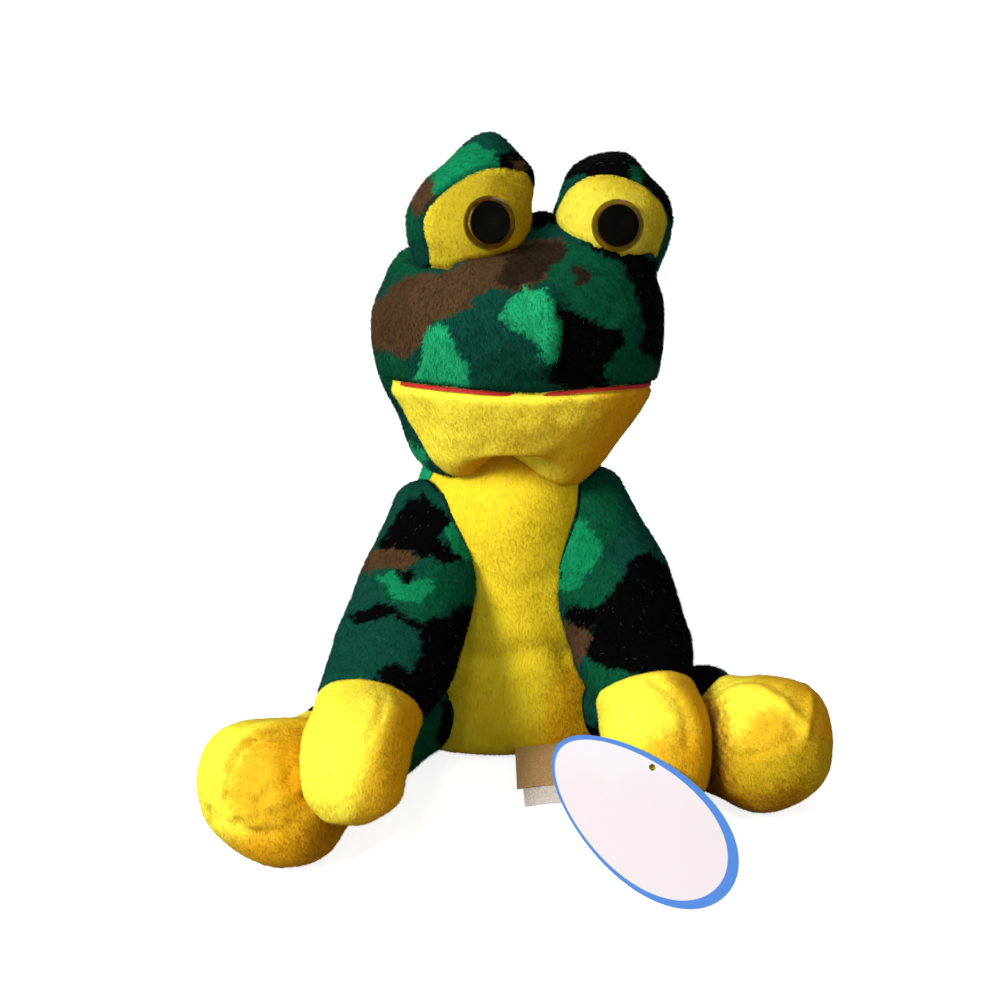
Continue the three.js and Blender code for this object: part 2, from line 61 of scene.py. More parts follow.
Points = np.ndarray
Pixels = Sequence[tuple[float, float]]
Colour = tuple[float, float, float, float]
MM = 0.001
FAR = 99.0
SIDES = {"left": 1, "right": -1}
UP = np.array([0.0, 0.0, 1.0])
NECK_CENTRE = (0.0, -3.0, 80.0)
BACK_SEAM_WIDTH = 1.6
BACK_SEAM_DEPTH = 0.9


def unit(vectors: Points) -> Points:
    """Returns the vectors at length one."""
    lengths = np.linalg.norm(vectors, axis=-1, keepdims=True)
    return vectors / np.maximum(lengths, 1e-12)


def smooth(share: Points) -> Points:
    """Returns shares from 0 to 1 eased at both ends."""
    share = np.clip(share, 0.0, 1.0)
    return share * share * (3.0 - 2.0 * share)


def bowed(values: Points, roundness: Any) -> Points:
    """Returns signed values raised to a power, which squares a round outline below one."""
    return np.sign(values) * np.abs(values) ** roundness


def carried(points: Points, matrix: Matrix) -> Points:
    """Returns the points moved by a matrix."""
    return points @ np.array(matrix.to_3x3()).T + np.array(matrix.translation)


def around(sides: int) -> Points:
    """Returns the angles of a ring's points."""
    return np.linspace(0.0, 2.0 * math.pi, sides, endpoint=False)


def linear(code: str) -> Colour:
    """Turns a screen colour into the linear one that a shader takes.

    Args:
        code: Six hexadecimal digits.

    Returns:
        Red, green, blue and an alpha of one.
    """
    screen = [int(code[place : place + 2], 16) / 255.0 for place in (0, 2, 4)]
    light = [value / 12.92 if value <= 0.04045 else ((value + 0.055) / 1.055) ** 2.4 for value in screen]
    return (light[0], light[1], light[2], 1.0)


class Dye(Enum):
    """The dye colours of the two plush cloths, and the colours of painted shade and a painted glint, all
    linear.
    """

    BRIGHT_GREEN = (0.012, 0.3, 0.12, 1.0)
    LEAF = (0.005, 0.2, 0.078, 1.0)
    GREEN = (0.003, 0.07, 0.03, 1.0)
    TEAL = (0.004, 0.052, 0.034, 1.0)
    BLACK = (0.0012, 0.0012, 0.0014, 1.0)
    BROWN = (0.068, 0.036, 0.016, 1.0)
    # Dark brown of the print, also painted as shadow on the yellow foot beside one hand.
    UMBER = (0.022, 0.014, 0.008, 1.0)
    YELLOW = (0.95, 0.83, 0.055, 1.0)
    # The next six colours are painted shade on the yellow cloth, standing in for light falling off.
    STRAW_SHADE = (0.6, 0.5, 0.045, 1.0)
    OCHRE_SHADE = (0.47, 0.33, 0.007, 1.0)
    GOLD_SHADE = (0.66, 0.3, 0.003, 1.0)
    HONEY_SHADE = (0.8, 0.58, 0.012, 1.0)
    MUSTARD_SHADE = (0.29, 0.18, 0.002, 1.0)
    AMBER_SHADE = (0.3, 0.115, 0.001, 1.0)
    # A painted highlight: the whitish glint given to a few camouflage fibre tips.
    PAINTED_GLINT = (0.13, 0.24, 0.2, 1.0)


class Lumps:
    """Smooth seeded noise over points in space."""

    def __init__(self, seed: int) -> None:
        """Draws the table of values.

        Args:
            seed: The seed of the table.
        """
        self.table = np.random.default_rng(seed).random(1 << 14)

    def at(self, points: Points, size: float) -> Points:
        """Reads the noise.

        Args:
            points: Points in millimetres.
            size: The distance from one lump to the next.

        Returns:
            Values from -1 to 1.
        """
        scaled = points / size
        base = np.floor(scaled).astype(np.int64)
        part = scaled - base
        part = part * part * (3.0 - 2.0 * part)
        total = np.zeros(len(points))
        for corner in np.ndindex(2, 2, 2):
            cell = base + np.array(corner)
            key = (cell[:, 0] * 73856093) ^ (cell[:, 1] * 19349663) ^ (cell[:, 2] * 83492791)
            weight = np.prod(np.where(np.array(corner) == 1, part, 1.0 - part), axis=1)
            total += weight * self.table[key & (len(self.table) - 1)]
        return 2.0 * total - 1.0


@dataclass(frozen=True)
class PhotoView:
    """The camera that the photograph was taken from, for an image of 1000 by 1000."""

    azimuth: float = -8.0
    elevation: float = 25.0
    distance: float = 560.0
    target: tuple[float, float, float] = (-4.0, -20.4, 88.0)
    focal_pixels: float = 1720.0
    frame_pixels: float = 1000.0
    sensor: float = 36.0

    def axes(self) -> tuple[Points, Points, Points]:
        """Works out the picture's directions.

        Returns:
            The directions to the right, up and back towards the camera.
        """
        turn, lift = math.radians(self.azimuth), math.radians(self.elevation)
        back = np.array([math.sin(turn) * math.cos(lift), -math.cos(turn) * math.cos(lift), math.sin(lift)])
        right = np.array([math.cos(turn), math.sin(turn), 0.0])
        return right, np.cross(back, right), back

    def eye(self) -> Points:
        """Returns the place of the camera in millimetres."""
        return np.array(self.target) + self.distance * self.axes()[2]

    def pixels(self, points: Points) -> Points:
        """Projects points into the photograph's frame.

        Args:
            points: Points in millimetres.

        Returns:
            One pair of pixel coordinates for each point.
        """
        right, up, back = self.axes()
        away = points - self.eye()
        depth = -(away @ back)
        middle = self.frame_pixels / 2.0
        across = middle + self.focal_pixels * (away @ right) / depth
        down = middle - self.focal_pixels * (away @ up) / depth
        return np.stack([across, down], axis=1)

    def on_form(self, form: "Form", x: float, y: float) -> Points:
        """Finds the point of a form that a pixel shows.

        Args:
            form: The form that is looked at.
            x: The pixel's column.
            y: The pixel's row.

        Returns:
            The point in millimetres, or the nearest one where the pixel misses the form.
        """
        right, up, back = self.axes()
        middle = self.frame_pixels / 2.0
        ray = (x - middle) * right - (y - middle) * up - self.focal_pixels * back
        eye = self.eye()
        tree = form.tree()
        place = tree.ray_cast(Vector(eye), Vector(unit(ray)))[0]
        if place is None:
            along = unit(ray)
            spot = eye + along * np.dot(form.points.mean(axis=0) - eye, along)
            place = tree.find_nearest(Vector(spot))[0]
        return np.array(place)

    def build(self) -> None:
        """Makes the scene's camera."""
        right, up, back = self.axes()
        data = bpy.data.cameras.new("photo_camera")
        data.sensor_width = self.sensor
        data.lens = self.sensor * self.focal_pixels / self.frame_pixels
        data.clip_start = 0.01
        data.clip_end = 20.0
        camera = bpy.data.objects.new("photo_camera", data)
        turn = Matrix((right, up, back)).transposed().to_4x4()
        camera.matrix_world = Matrix.Translation(Vector(self.eye() * MM)) @ turn
        bpy.context.scene.collection.objects.link(camera)
        bpy.context.scene.camera = camera


PHOTO = PhotoView()


class Spline:
    """A smooth curve through points, with centripetal spacing as in the construction."""

    least_gap = 1e-4
    def __init__(self, knots: Sequence[Sequence[float]], samples: int = 400) -> None:
        """Lays the curve out.

        Args:
            knots: The points that the curve passes through.
            samples: How many places it is measured at.
        """
        self.knots = [np.array(knot, dtype=float) for knot in knots]
        self.steps = np.linspace(0.0, 1.0, samples + 1)
        self.places = np.array([self.at(step) for step in self.steps])
        run = np.linalg.norm(np.diff(self.places, axis=0), axis=1)
        self.lengths = np.concatenate([[0.0], np.cumsum(run)])
        self.length = float(self.lengths[-1])

    def at(self, share: float) -> Points:
        """Finds a point of the curve.

        Args:
            share: How far through the knots it lies, from 0 to 1.

        Returns:
            The point.
        """
        knots = self.knots
        last = len(knots) - 1
        reach = share * last
        start = min(int(reach), last - 1)
        part = reach - start
        first, second = knots[start], knots[start + 1]
        before = knots[start - 1] if start > 0 else 2.0 * knots[0] - knots[1]
        after = knots[start + 2] if start + 2 <= last else 2.0 * knots[last] - knots[last - 1]
        spans = ((before, first), (first, second), (second, after))
        gaps = [float(np.linalg.norm(b - a)) ** 0.5 for a, b in spans]
        middle = gaps[1] if gaps[1] > self.least_gap else 1.0
        lead = gaps[0] if gaps[0] > self.least_gap else middle
        tail = gaps[2] if gaps[2] > self.least_gap else middle
        leave = (first - before) / lead - (second - before) / (lead + middle) + (second - first) / middle
        arrive = (second - first) / middle - (after - first) / (middle + tail) + (after - second) / tail
        leave, arrive = leave * middle, arrive * middle
        square = -3.0 * first + 3.0 * second - 2.0 * leave - arrive
        cube = 2.0 * first - 2.0 * second + leave + arrive
        return first + part * (leave + part * (square + part * cube))

    def share_at(self, distance: float) -> float:
        """Returns the share of the knots at a distance along the curve."""
        return float(np.interp(distance, self.lengths, self.steps))

    def point(self, distance: float) -> Points:
        """Returns the point at a distance, on a straight line past either end."""
        held = min(max(distance, 0.0), self.length)
        return self.at(self.share_at(held)) + (distance - held) * self.heading(held)

    def heading(self, distance: float) -> Points:
        """Finds the curve's direction.

        Args:
            distance: The distance along the curve.

        Returns:
            The direction there, at length one.
        """
        nudge = self.length * 0.002
        low, high = max(distance - nudge, 0.0), min(distance + nudge, self.length)
        return unit(self.at(self.share_at(high)) - self.at(self.share_at(low)))


@dataclass
class Form:
    """A skin of points and faces, with a flat map of every face's corners."""

    points: Points
    faces: list[tuple[int, ...]]
    flat: list[tuple[tuple[float, float], ...]]
    bare: Points = field(default_factory=lambda: np.zeros(0))

    def __post_init__(self) -> None:
        """Marks no point as bare of pile unless told so."""
        if len(self.bare) != len(self.points):
            self.bare = np.zeros(len(self.points))

    @classmethod
    def lofted(cls, grid: Points, start: Points, end: Points) -> "Form":
        """Closes a grid of rings over two end points.

        Args:
            grid: Rings by sides by three coordinates.
            start: The point that closes the first ring.
            end: The point that closes the last ring.

        Returns:
            The closed form.
        """
        rings, sides = grid.shape[:2]
        points = np.concatenate([grid.reshape(-1, 3), [start, end]])
        faces: list[tuple[int, ...]] = []
        flat: list[tuple[tuple[float, float], ...]] = []
        for ring in range(rings - 1):
            low, high = (ring + 1) / (rings + 1), (ring + 2) / (rings + 1)
            for side in range(sides):
                after = (side + 1) % sides
                left, right = side / sides, (side + 1) / sides
                a, b = ring * sides + side, ring * sides + after
                faces.append((a, b, b + sides, a + sides))
                flat.append(((left, low), (right, low), (right, high), (left, high)))
        first, last = rings * sides, (rings - 1) * sides
        for side in range(sides):
            after = (side + 1) % sides
            left, right = side / sides, (side + 1) / sides
            middle = (left + right) / 2.0
            faces.append((first, after, side))
            flat.append(((middle, 0.0), (right, 1 / (rings + 1)), (left, 1 / (rings + 1))))
            faces.append((first + 1, last + side, last + after))
            flat.append(((middle, 1.0), (left, rings / (rings + 1)), (right, rings / (rings + 1))))
        return cls(points, faces, flat)

    def triangles(self) -> Points:
        """Returns the corner numbers of every face cut into triangles."""
        return np.array([(f[0], f[k], f[k + 1]) for f in self.faces for k in range(1, len(f) - 1)])

    def normals(self) -> Points:
        """Works out the outward directions.

        Returns:
            One direction for each point.
        """
        corners = self.triangles()
        a, b, c = (self.points[corners[:, k]] for k in range(3))
        face_normals = np.cross(b - a, c - a)
        total = np.zeros_like(self.points)
        for k in range(3):
            np.add.at(total, corners[:, k], face_normals)
        return unit(total)

    def tree(self) -> BVHTree:
        """Returns a search tree of the faces."""
        return BVHTree.FromPolygons([tuple(point) for point in self.points], self.faces)

    def move(self, matrix: Matrix) -> None:
        """Moves every point by a matrix."""
        self.points = carried(self.points, matrix)

    def swell(self, centre: Points, radius: float, amount: float, along: Points | None = None) -> None:
        """Pushes the skin out round a point, or in where the amount is negative.

        Args:
            centre: The middle of the swelling.
            radius: How wide it is.
            amount: How far it goes.
            along: The direction that it goes in, or None for straight out of the skin.
        """
        reach = np.linalg.norm(self.points - centre, axis=1) / radius
        share = np.exp(-reach * reach)[:, None]
        self.points += amount * share * (self.normals() if along is None else np.array(along))

    def nudge(self, x: float, y: float, right: float, down: float, radius: float) -> None:
        """Moves the skin that a pixel shows by a distance in the picture's plane.

        Args:
            x: The pixel's column.
            y: The pixel's row.
            right: How many pixels it moves to the right.
            down: How many pixels it moves down.
            radius: How wide the moved stretch is, in millimetres.
        """
        centre = PHOTO.on_form(self, x, y)
        across, up, back = PHOTO.axes()
        pixel = float(np.dot(PHOTO.eye() - centre, back)) / PHOTO.focal_pixels
        self.swell(centre, radius, pixel, right * across - down * up)

    def ridge(self, path: Points, width: float, height: float) -> None:
        """Raises a soft ridge along a line, or a groove where the height is negative.

        Args:
            path: The points of the line.
            width: Half the width of the ridge.
            height: How far it stands out at its middle.
        """
        near = np.full(len(self.points), np.inf)
        for start, end in zip(path[:-1], path[1:]):
            run = end - start
            share = np.clip((self.points - start) @ run / max(run @ run, 1e-9), 0.0, 1.0)
            near = np.minimum(near, np.linalg.norm(self.points - start - share[:, None] * run, axis=1))
        self.points += height * np.exp(-((near / width) ** 2))[:, None] * self.normals()

    def ridge_near(self, spots: Sequence[Any], width: float, height: float) -> None:
        """Raises a ridge along the points of the skin that lie nearest to some spots."""
        tree = self.tree()
        self.ridge(np.array([tree.find_nearest(Vector(spot))[0] for spot in spots]), width, height)

    def seam(self, spots: Pixels, width: float, height: float, groove: float = 0.0) -> None:
        """Raises a ridge along a line of pixels, with a groove down its middle.

        Args:
            spots: The pixels that the line passes through.
            width: Half the width of the ridge.
            height: How far it stands out.
            groove: The depth of the groove where the panels meet.
        """
        path = Spline([PHOTO.on_form(self, x, y) for x, y in spots], 40).places
        self.ridge(path, width, height)
        if groove:
            self.ridge(path, width * 0.3, -groove)

    def sculpt(self, nudges: Sequence[Sequence[float]], seams: Sequence[Sequence[Any]] = ()) -> None:
        """Nudges the skin and then sews seams into it.

        Args:
            nudges: The values of each nudge.
            seams: The values of each seam.
        """
        for nudge in nudges:
            self.nudge(*nudge)
        for seam in seams:
            self.seam(*seam)

    def ruffle(self, seed: int, size: float, amount: Any) -> None:
        """Makes the skin uneven, as stuffing does.

        Args:
            seed: The seed of the noise.
            size: The distance between lumps.
            amount: The height of the lumps, everywhere or at each point.
        """
        self.points += (amount * Lumps(seed).at(self.points, size))[:, None] * self.normals()

    def ruffles(self, *layers: tuple[int, float, float]) -> None:
        """Makes the skin uneven in several sizes, by the values of each layer."""
        for layer in layers:
            self.ruffle(*layer)

    def press_out(self, other: "Form", clearance: float, rounds: int = 4) -> None:
        """Flattens the skin where it would enter another form.

        Args:
            other: The form that it is pressed against.
            clearance: The distance that it keeps.
            rounds: How often it is evened out and pressed again.
        """
        tree = other.tree()
        low, high = other.points.min(axis=0) - clearance, other.points.max(axis=0) + clearance
        pressed = np.zeros(len(self.points), dtype=bool)
        for _ in range(rounds):
            self.relax(pressed)
            for place in np.nonzero(np.all((self.points > low) & (self.points < high), axis=1))[0]:
                spot, normal, _, _ = tree.find_nearest(Vector(self.points[place]))
                depth = float(np.dot(self.points[place] - np.array(spot), normal))
                if depth < clearance:
                    self.points[place] = np.array(spot) + clearance * np.array(normal)
                    pressed[place] = True

    def relax(self, chosen: Points, rounds: int = 6) -> None:
        """Evens out the chosen points and those next to them.

        Args:
            chosen: Which points.
            rounds: How often each is moved to the middle of its neighbours.
        """
        corners = self.triangles()
        pairs = np.concatenate([corners[:, [0, 1]], corners[:, [1, 2]], corners[:, [2, 0]]])
        pairs = np.concatenate([pairs, pairs[:, ::-1]])
        near = chosen.copy()
        near[pairs[chosen[pairs[:, 1]], 0]] = True
        count = np.bincount(pairs[:, 0], minlength=len(self.points))[:, None]
        for _ in range(rounds):
            total = np.zeros_like(self.points)
            np.add.at(total, pairs[:, 0], self.points[pairs[:, 1]])
            self.points[near] = (total / count)[near]

    def rest_on_floor(self) -> None:
        """Flattens the skin where it would pass the floor."""
        under = self.points[:, 2] < 0.0
        self.points[under, 2] = 0.0
        self.bare[under] = 1.0

    def pull_in(self, reach: Points, width: float, depth: float) -> None:
        """Rolls the skin in towards a seam.

        Args:
            reach: Each point's distance from the seam.
            width: How far from the seam the roll starts.
            depth: How deep the seam lies.
        """
        share = np.clip(1.0 - np.abs(reach) / width, 0.0, 1.0)
        self.points -= (depth * share**2)[:, None] * self.normals()

    def split(self, values: Points) -> tuple["Form", "Form"]:
        """Cuts the skin along the line where the values are zero.

        Args:
            values: One value for each point.

        Returns:
            The part with values below zero, and the part above.
        """
        points = list(self.points)
        bare = list(self.bare)
        cuts: dict[tuple[int, int], int] = {}

        def crossing(a: int, b: int) -> tuple[int, float]:
            """Finds the new point on an edge.

            Args:
                a: The corner that the edge starts from.
                b: The corner that it ends at.

            Returns:
                The number of the new point, and its share of the way.
            """
            key = (min(a, b), max(a, b))
            share = values[key[0]] / (values[key[0]] - values[key[1]])
            if key not in cuts:
                cuts[key] = len(points)
                points.append(self.points[key[0]] * (1.0 - share) + self.points[key[1]] * share)
                bare.append(max(self.bare[key[0]], self.bare[key[1]]))
            return cuts[key], share if key[0] == a else 1.0 - share

        parts: dict[bool, tuple[list, list]] = {False: ([], []), True: ([], [])}
        above = values > 0.0
        for face, corners in zip(self.faces, self.flat):
            kinds = {bool(above[corner]) for corner in face}
            if len(kinds) == 1:
                kept_faces, kept_flat = parts[kinds.pop()]
                kept_faces.append(face)
                kept_flat.append(corners)
                continue
            pieces: dict[bool, tuple[list, list]] = {False: ([], []), True: ([], [])}
            for place, corner in enumerate(face):
                after = (place + 1) % len(face)
                here = bool(above[corner])
                pieces[here][0].append(corner)
                pieces[here][1].append(corners[place])
                if here != bool(above[face[after]]):
                    made, share = crossing(corner, face[after])
                    spot = tuple(
                        corners[place][k] * (1.0 - share) + corners[after][k] * share for k in range(2)
                    )
                    for cut_faces, cut_flat in pieces.values():
                        cut_faces.append(made)
                        cut_flat.append(spot)
            for kind, (cut_faces, cut_flat) in pieces.items():
                if len(cut_faces) > 2:
                    parts[kind][0].append(tuple(cut_faces))
                    parts[kind][1].append(tuple(cut_flat))
        whole = np.array(points)
        return tuple(Form.kept(whole, np.array(bare), *parts[kind]) for kind in (False, True))

    @staticmethod
    def kept(points: Points, bare: Points, faces: list, flat: list) -> "Form":
        """Keeps only the points that faces use.

        Args:
            points: All the points.
            bare: Their marks for lying bare of pile.
            faces: The faces that are kept.
            flat: Their flat map.

        Returns:
            The smaller form.
        """
        used = np.unique(np.concatenate([np.array(face) for face in faces]))
        places = np.full(len(points), -1)
        places[used] = np.arange(len(used))
        return Form(points[used], [tuple(int(places[c]) for c in face) for face in faces], flat, bare[used])

    def rims(self) -> list[tuple[int, int]]:
        """Finds the skin's open edges.

        Returns:
            The edges that only one face has, each in its face's order.
        """
        seen: dict[tuple[int, int], tuple[int, int]] = {}
        for face in self.faces:
            for place, corner in enumerate(face):
                after = face[(place + 1) % len(face)]
                key = (min(corner, after), max(corner, after))
                if key in seen:
                    del seen[key]
                else:
                    seen[key] = (corner, after)
        return list(seen.values())


class Cloth(Enum):
    """The two plush cloths."""

    CAMOUFLAGE = "camouflage_plush"
    YELLOW = "yellow_plush"


@dataclass(frozen=True)
class Patch:
    """One patch of a print or of painted shade, by its outline in the photograph's frame."""

    dye: Dye
    outline: tuple[tuple[float, float], ...]

    def covers(self, pixels: Points) -> Points:
        """Tests pixels against the outline.

        Args:
            pixels: Pairs of pixel coordinates.

        Returns:
            Which of them lie inside.
        """
        inside = np.zeros(len(pixels), dtype=bool)
        x, y = pixels[:, 0], pixels[:, 1]
        for (ax, ay), (bx, by) in zip(self.outline, self.outline[1:] + self.outline[:1]):
            if ay != by:
                inside ^= ((ay > y) != (by > y)) & (x < ax + (y - ay) * (bx - ax) / (by - ay))
        return inside


@dataclass(frozen=True)
class CamouflagePrint:
    """A woodland camouflage: placed patches where the front shows, free ones elsewhere."""

    patches: tuple[Patch, ...] = ()
    ground: Dye = Dye.TEAL
    wander: float = 3.0
    broad_size: float = 7.0
    fine_size: float = 2.2
    fine_share: float = 0.8
    feather: float = 1.3
    free_size: float = 21.0
    facing: float = -0.15
    free_layers: tuple[tuple[Dye, int, float], ...] = (
        (Dye.GREEN, 71, 0.05),
        (Dye.BROWN, 81, 0.3),
        (Dye.BRIGHT_GREEN, 101, 0.28),
        (Dye.BLACK, 91, 0.12),
    )

    def dyes_and_shade(self, points: Points, normals: Points) -> Points:
        """Colours points of the cloth.

        Args:
            points: Points in millimetres.
            normals: The outward directions there.

        Returns:
            One linear colour for each point.
        """
        colours = self.free(points)
        pixels = PHOTO.pixels(points)
        for place in range(2):
            broad = Lumps(41 + place).at(points, self.broad_size)
            fine = Lumps(51 + place).at(points, self.fine_size)
            pixels[:, place] += self.wander * broad + self.fine_share * self.wander * fine
        pixels += np.random.default_rng(17).normal(0.0, self.feather, pixels.shape)
        towards = np.sum(normals * unit(PHOTO.eye() - points), axis=1)
        seen = towards + 0.12 * Lumps(61).at(points, 9.0) > self.facing
        if self.patches:
            colours[seen] = self.ground.value
            for patch in self.patches:
                colours[seen & patch.covers(pixels)] = patch.dye.value
        return colours

    def free(self, points: Points) -> Points:
        """Colours points where no patch is placed.

        Args:
            points: Points in millimetres.

        Returns:
            One linear colour for each point.
        """
        colours = np.tile(np.array(self.ground.value), (len(points), 1))
        for dye, seed, level in self.free_layers:
            value = Lumps(seed).at(points, self.free_size)
            value = value + 0.35 * Lumps(seed + 1).at(points, self.free_size * 0.4)
            colours[value > level] = dye.value
        return colours


@dataclass(frozen=True)
class YellowPrintWithPaintedShade:
    """Yellow cloth with painted shade: it turns gold where its surface faces away from the key light, and
    its patches paint deeper shade.
    """

    patches: tuple[Patch, ...] = ()
    bright_side: tuple[float, float, float] = (-0.72, -0.42, 0.55)
    feather: float = 7.0
    tint: float = 0.75
    shade_onset: float = 0.86
    shade_onset_width: float = 1.3
    samples: int = 6

    def dyes_and_shade(self, points: Points, normals: Points) -> Points:
        """Colours points of the cloth, with painted shade.

        Args:
            points: Points in millimetres.
            normals: The outward directions there.

        Returns:
            One linear colour for each point.
        """
        # Painted shade: the further a point faces away from the key light, the more gold it takes.
        facing = normals @ unit(np.array(self.bright_side)) + 0.12 * Lumps(7).at(points, 6.0)
        painted_shade = smooth((self.shade_onset - facing) / self.shade_onset_width)[:, None]
        colours = (1.0 - painted_shade) * np.array(Dye.YELLOW.value) + painted_shade * np.array(Dye.GOLD_SHADE.value)
        pixels = PHOTO.pixels(points)
        draw = np.random.default_rng(19)
        moved = [pixels + draw.normal(0.0, self.feather, pixels.shape) for _ in range(self.samples)]
        # Each patch paints gold shade over its outline, with a feathered edge.
        for patch in self.patches:
            share = self.tint * np.mean([patch.covers(spots) for spots in moved], axis=0)[:, None]
            colours = (1.0 - share) * colours + share * np.array(patch.dye.value)
        return colours


@dataclass(frozen=True)
class Pile:
    """The short fibres of a plush cloth."""

    length: float
    width: float
    per_square_mm: float
    lean: float
    seed: int
    contrast: float
    painted_glints: float = 0.0
    quick_share: float = 0.4
    nap_size: float = 14.0
    nap_spread: float = 0.32
    root_depth: float = 0.15
    clump_size: float = 2.4
    stray: float = 0.1
    lengths: tuple[float, float] = (0.6, 1.2)
    widths: tuple[float, float] = (0.7, 1.2)
    root_shade: float = 0.8
    tip_shade: float = 0.9
    shading_lean: float = 0.2

    def grow(self, form: Form, normals: Points, cloth: Any) -> tuple[Points, Points, Points, Points]:
        """Places the fibres on a form.

        Args:
            form: The cover that they stand on.
            normals: Its outward directions.
            cloth: The print, with any painted shade, that colours them.

        Returns:
            The fibres' points, directions of shading, colours with painted shade at the roots and painted
            light at the tips, and flat places, four to a fibre.
        """
        draw = np.random.default_rng(self.seed)
        corners, flats = [], []
        for face, flat in zip(form.faces, form.flat):
            for k in range(1, len(face) - 1):
                corners.append((face[0], face[k], face[k + 1]))
                flats.append((flat[0], flat[k], flat[k + 1]))
        tri, flat_tri = np.array(corners), np.array(flats)
        a, b, c = (form.points[tri[:, k]] for k in range(3))
        area = np.linalg.norm(np.cross(b - a, c - a), axis=1) / 2.0
        area = area * (1.0 - form.bare[tri].max(axis=1))
        count = int(area.sum() * self.per_square_mm * (1.0))
        pick = draw.choice(len(tri), size=count, p=area / area.sum())
        mix = draw.dirichlet((1.0, 1.0, 1.0), size=count)
        roots = np.einsum("nk,nkd->nd", mix, form.points[tri[pick]])
        out = unit(np.einsum("nk,nkd->nd", mix, normals[tri[pick]]))
        flat_roots = np.einsum("nk,nkd->nd", mix, flat_tri[pick])
        nap = np.stack([0.5 * Lumps(5 + k).at(roots, self.nap_size) for k in range(3)], axis=1) - UP
        nap = nap + draw.normal(0.0, self.nap_spread, (count, 3))
        nap = unit(nap - np.sum(nap * out, axis=1)[:, None] * out)
        lean = math.radians(self.lean)
        heading = unit(math.cos(lean) * out + math.sin(lean) * nap)
        length = self.length * draw.uniform(*self.lengths, count)[:, None]
        aside = unit(np.cross(heading, out))
        front = np.cross(aside, heading)
        half = (self.width / 2.0) * draw.uniform(*self.widths, count)[:, None]
        base = roots - self.root_depth * out
        points = np.stack(
            [base + half * aside, base - half * aside, base + half * front, base + length * heading], axis=1
        )
        colours = cloth.dyes_and_shade(roots, out)
        shade = draw.uniform(1.0 - self.contrast, 1.0 + self.contrast, count)[:, None]
        clump = 1.0 + self.contrast * Lumps(9).at(roots, self.clump_size)[:, None]
        tints = np.repeat(colours[:, None, :], 4, axis=1)
        # Painted shade darkens the root corners of each fibre and painted light brightens its tip.
        tints[:, :3, :3] *= ((1.0 - self.root_shade * self.contrast) * shade * clump)[:, None]
        tints[:, 3, :3] *= (1.0 + self.tip_shade * self.contrast) * shade * clump
        # Painted highlight: a few fibre tips are mixed half way to a whitish glint.
        white = draw.random(count) < self.painted_glints
        tints[white, 3, :3] = 0.5 * tints[white, 3, :3] + 0.5 * np.array(Dye.PAINTED_GLINT.value[:3])
        np.clip(tints, 0.0, 1.0, out=tints)
        stray = draw.normal(0.0, self.stray, (count, 3))
        shading = np.repeat(unit(out + self.shading_lean * heading + stray)[:, None, :], 4, axis=1)
        places = flat_roots[:, None, :] + np.array([[1, 0], [-1, 0], [0, 1], [0, -1]]) * 4e-4
        return points.reshape(-1, 3), shading.reshape(-1, 3), tints.reshape(-1, 4), places


CAMOUFLAGE_PILE = Pile(1.8, 0.24, 2.6, lean=62.0, seed=3, contrast=0.3, painted_glints=0.02)
YELLOW_PILE = Pile(1.15, 0.22, 2.9, lean=64.0, seed=4, contrast=0.06)


@dataclass
class Cover:
    """A sewn cover: the outer skin, the cloth's inner face and its pile, in one mesh."""

    name: str
    form: Form
    cloth: Any
    pile: Pile
    thickness: float = 1.4

    def build(self) -> bpy.types.Object:
        """Makes the cover.

        Returns:
            The cover as an object in metres.
        """
        form = self.form
        normals = form.normals()
        count = len(form.points)
        inner = form.points - self.thickness * normals
        dyes_and_shade = self.cloth.dyes_and_shade(form.points, normals)
        # The inner face takes the same colours at 0.6 of their brightness.
        inner_dyes_and_shade = dyes_and_shade * np.array([0.6, 0.6, 0.6, 1.0])
        faces = list(form.faces)
        flats = [corner for flat in form.flat for corner in flat]
        faces += [tuple(corner + count for corner in reversed(face)) for face in form.faces]
        flats += [corner for flat in form.flat for corner in reversed(flat)]
        for a, b in form.rims():
            faces.append((b, a, a + count, b + count))
            flats += [(0.0, 0.0)] * 4
        hairs, shading, tints, places = self.pile.grow(form, normals, self.cloth)
        first = 2 * count
        fibres = np.arange(len(hairs) // 4) * 4 + first
        sides = ((0, 1, 3), (1, 2, 3), (2, 0, 3))
        hair_faces = np.stack([fibres[:, None] + np.array(side) for side in sides], axis=1).reshape(-1, 3)
        hair_flats = np.stack([places[:, side, :] for side in sides], axis=1).reshape(-1, 2)
        faces += [tuple(face) for face in hair_faces.tolist()]
        piece = linked(self.name, np.concatenate([form.points, inner, hairs]), faces)
        mesh = piece.data
        mesh.polygons.foreach_set("use_smooth", np.ones(len(mesh.polygons), dtype=bool))
        flat_map = mesh.uv_layers.new(name="OFBake")
        flat_map.data.foreach_set("uv", np.concatenate([np.array(flats), hair_flats]).ravel())
        # The layer named print holds the print with its painted shade, and on the fibres their painted root
        # shade, lit tips and glint.
        print_and_painted_light = mesh.color_attributes.new("print", "FLOAT_COLOR", "POINT")
        print_and_painted_light.data.foreach_set("color", np.concatenate([dyes_and_shade, inner_dyes_and_shade, tints]).ravel())
        mesh.normals_split_custom_set_from_vertices(np.concatenate([normals, -normals, shading]).tolist())
        return piece


def linked(name: str, points: Points, faces: Sequence[Sequence[int]]) -> bpy.types.Object:
    """Puts a mesh into the scene.

    Args:
        name: The name of the mesh and of its object.
        points: Its points in millimetres.
        faces: Its faces.

    Returns:
        The object, in metres.
    """
    mesh = bpy.data.meshes.new(name)
    mesh.from_pydata((points * MM).tolist(), [], faces)
    piece = bpy.data.objects.new(name, mesh)
    bpy.context.scene.collection.objects.link(piece)
    return piece


def dress(piece: bpy.types.Object, finish: bpy.types.Material) -> None:
    """Gives a piece one finish in place of any other."""
    piece.data.materials.clear()
    piece.data.materials.append(finish)


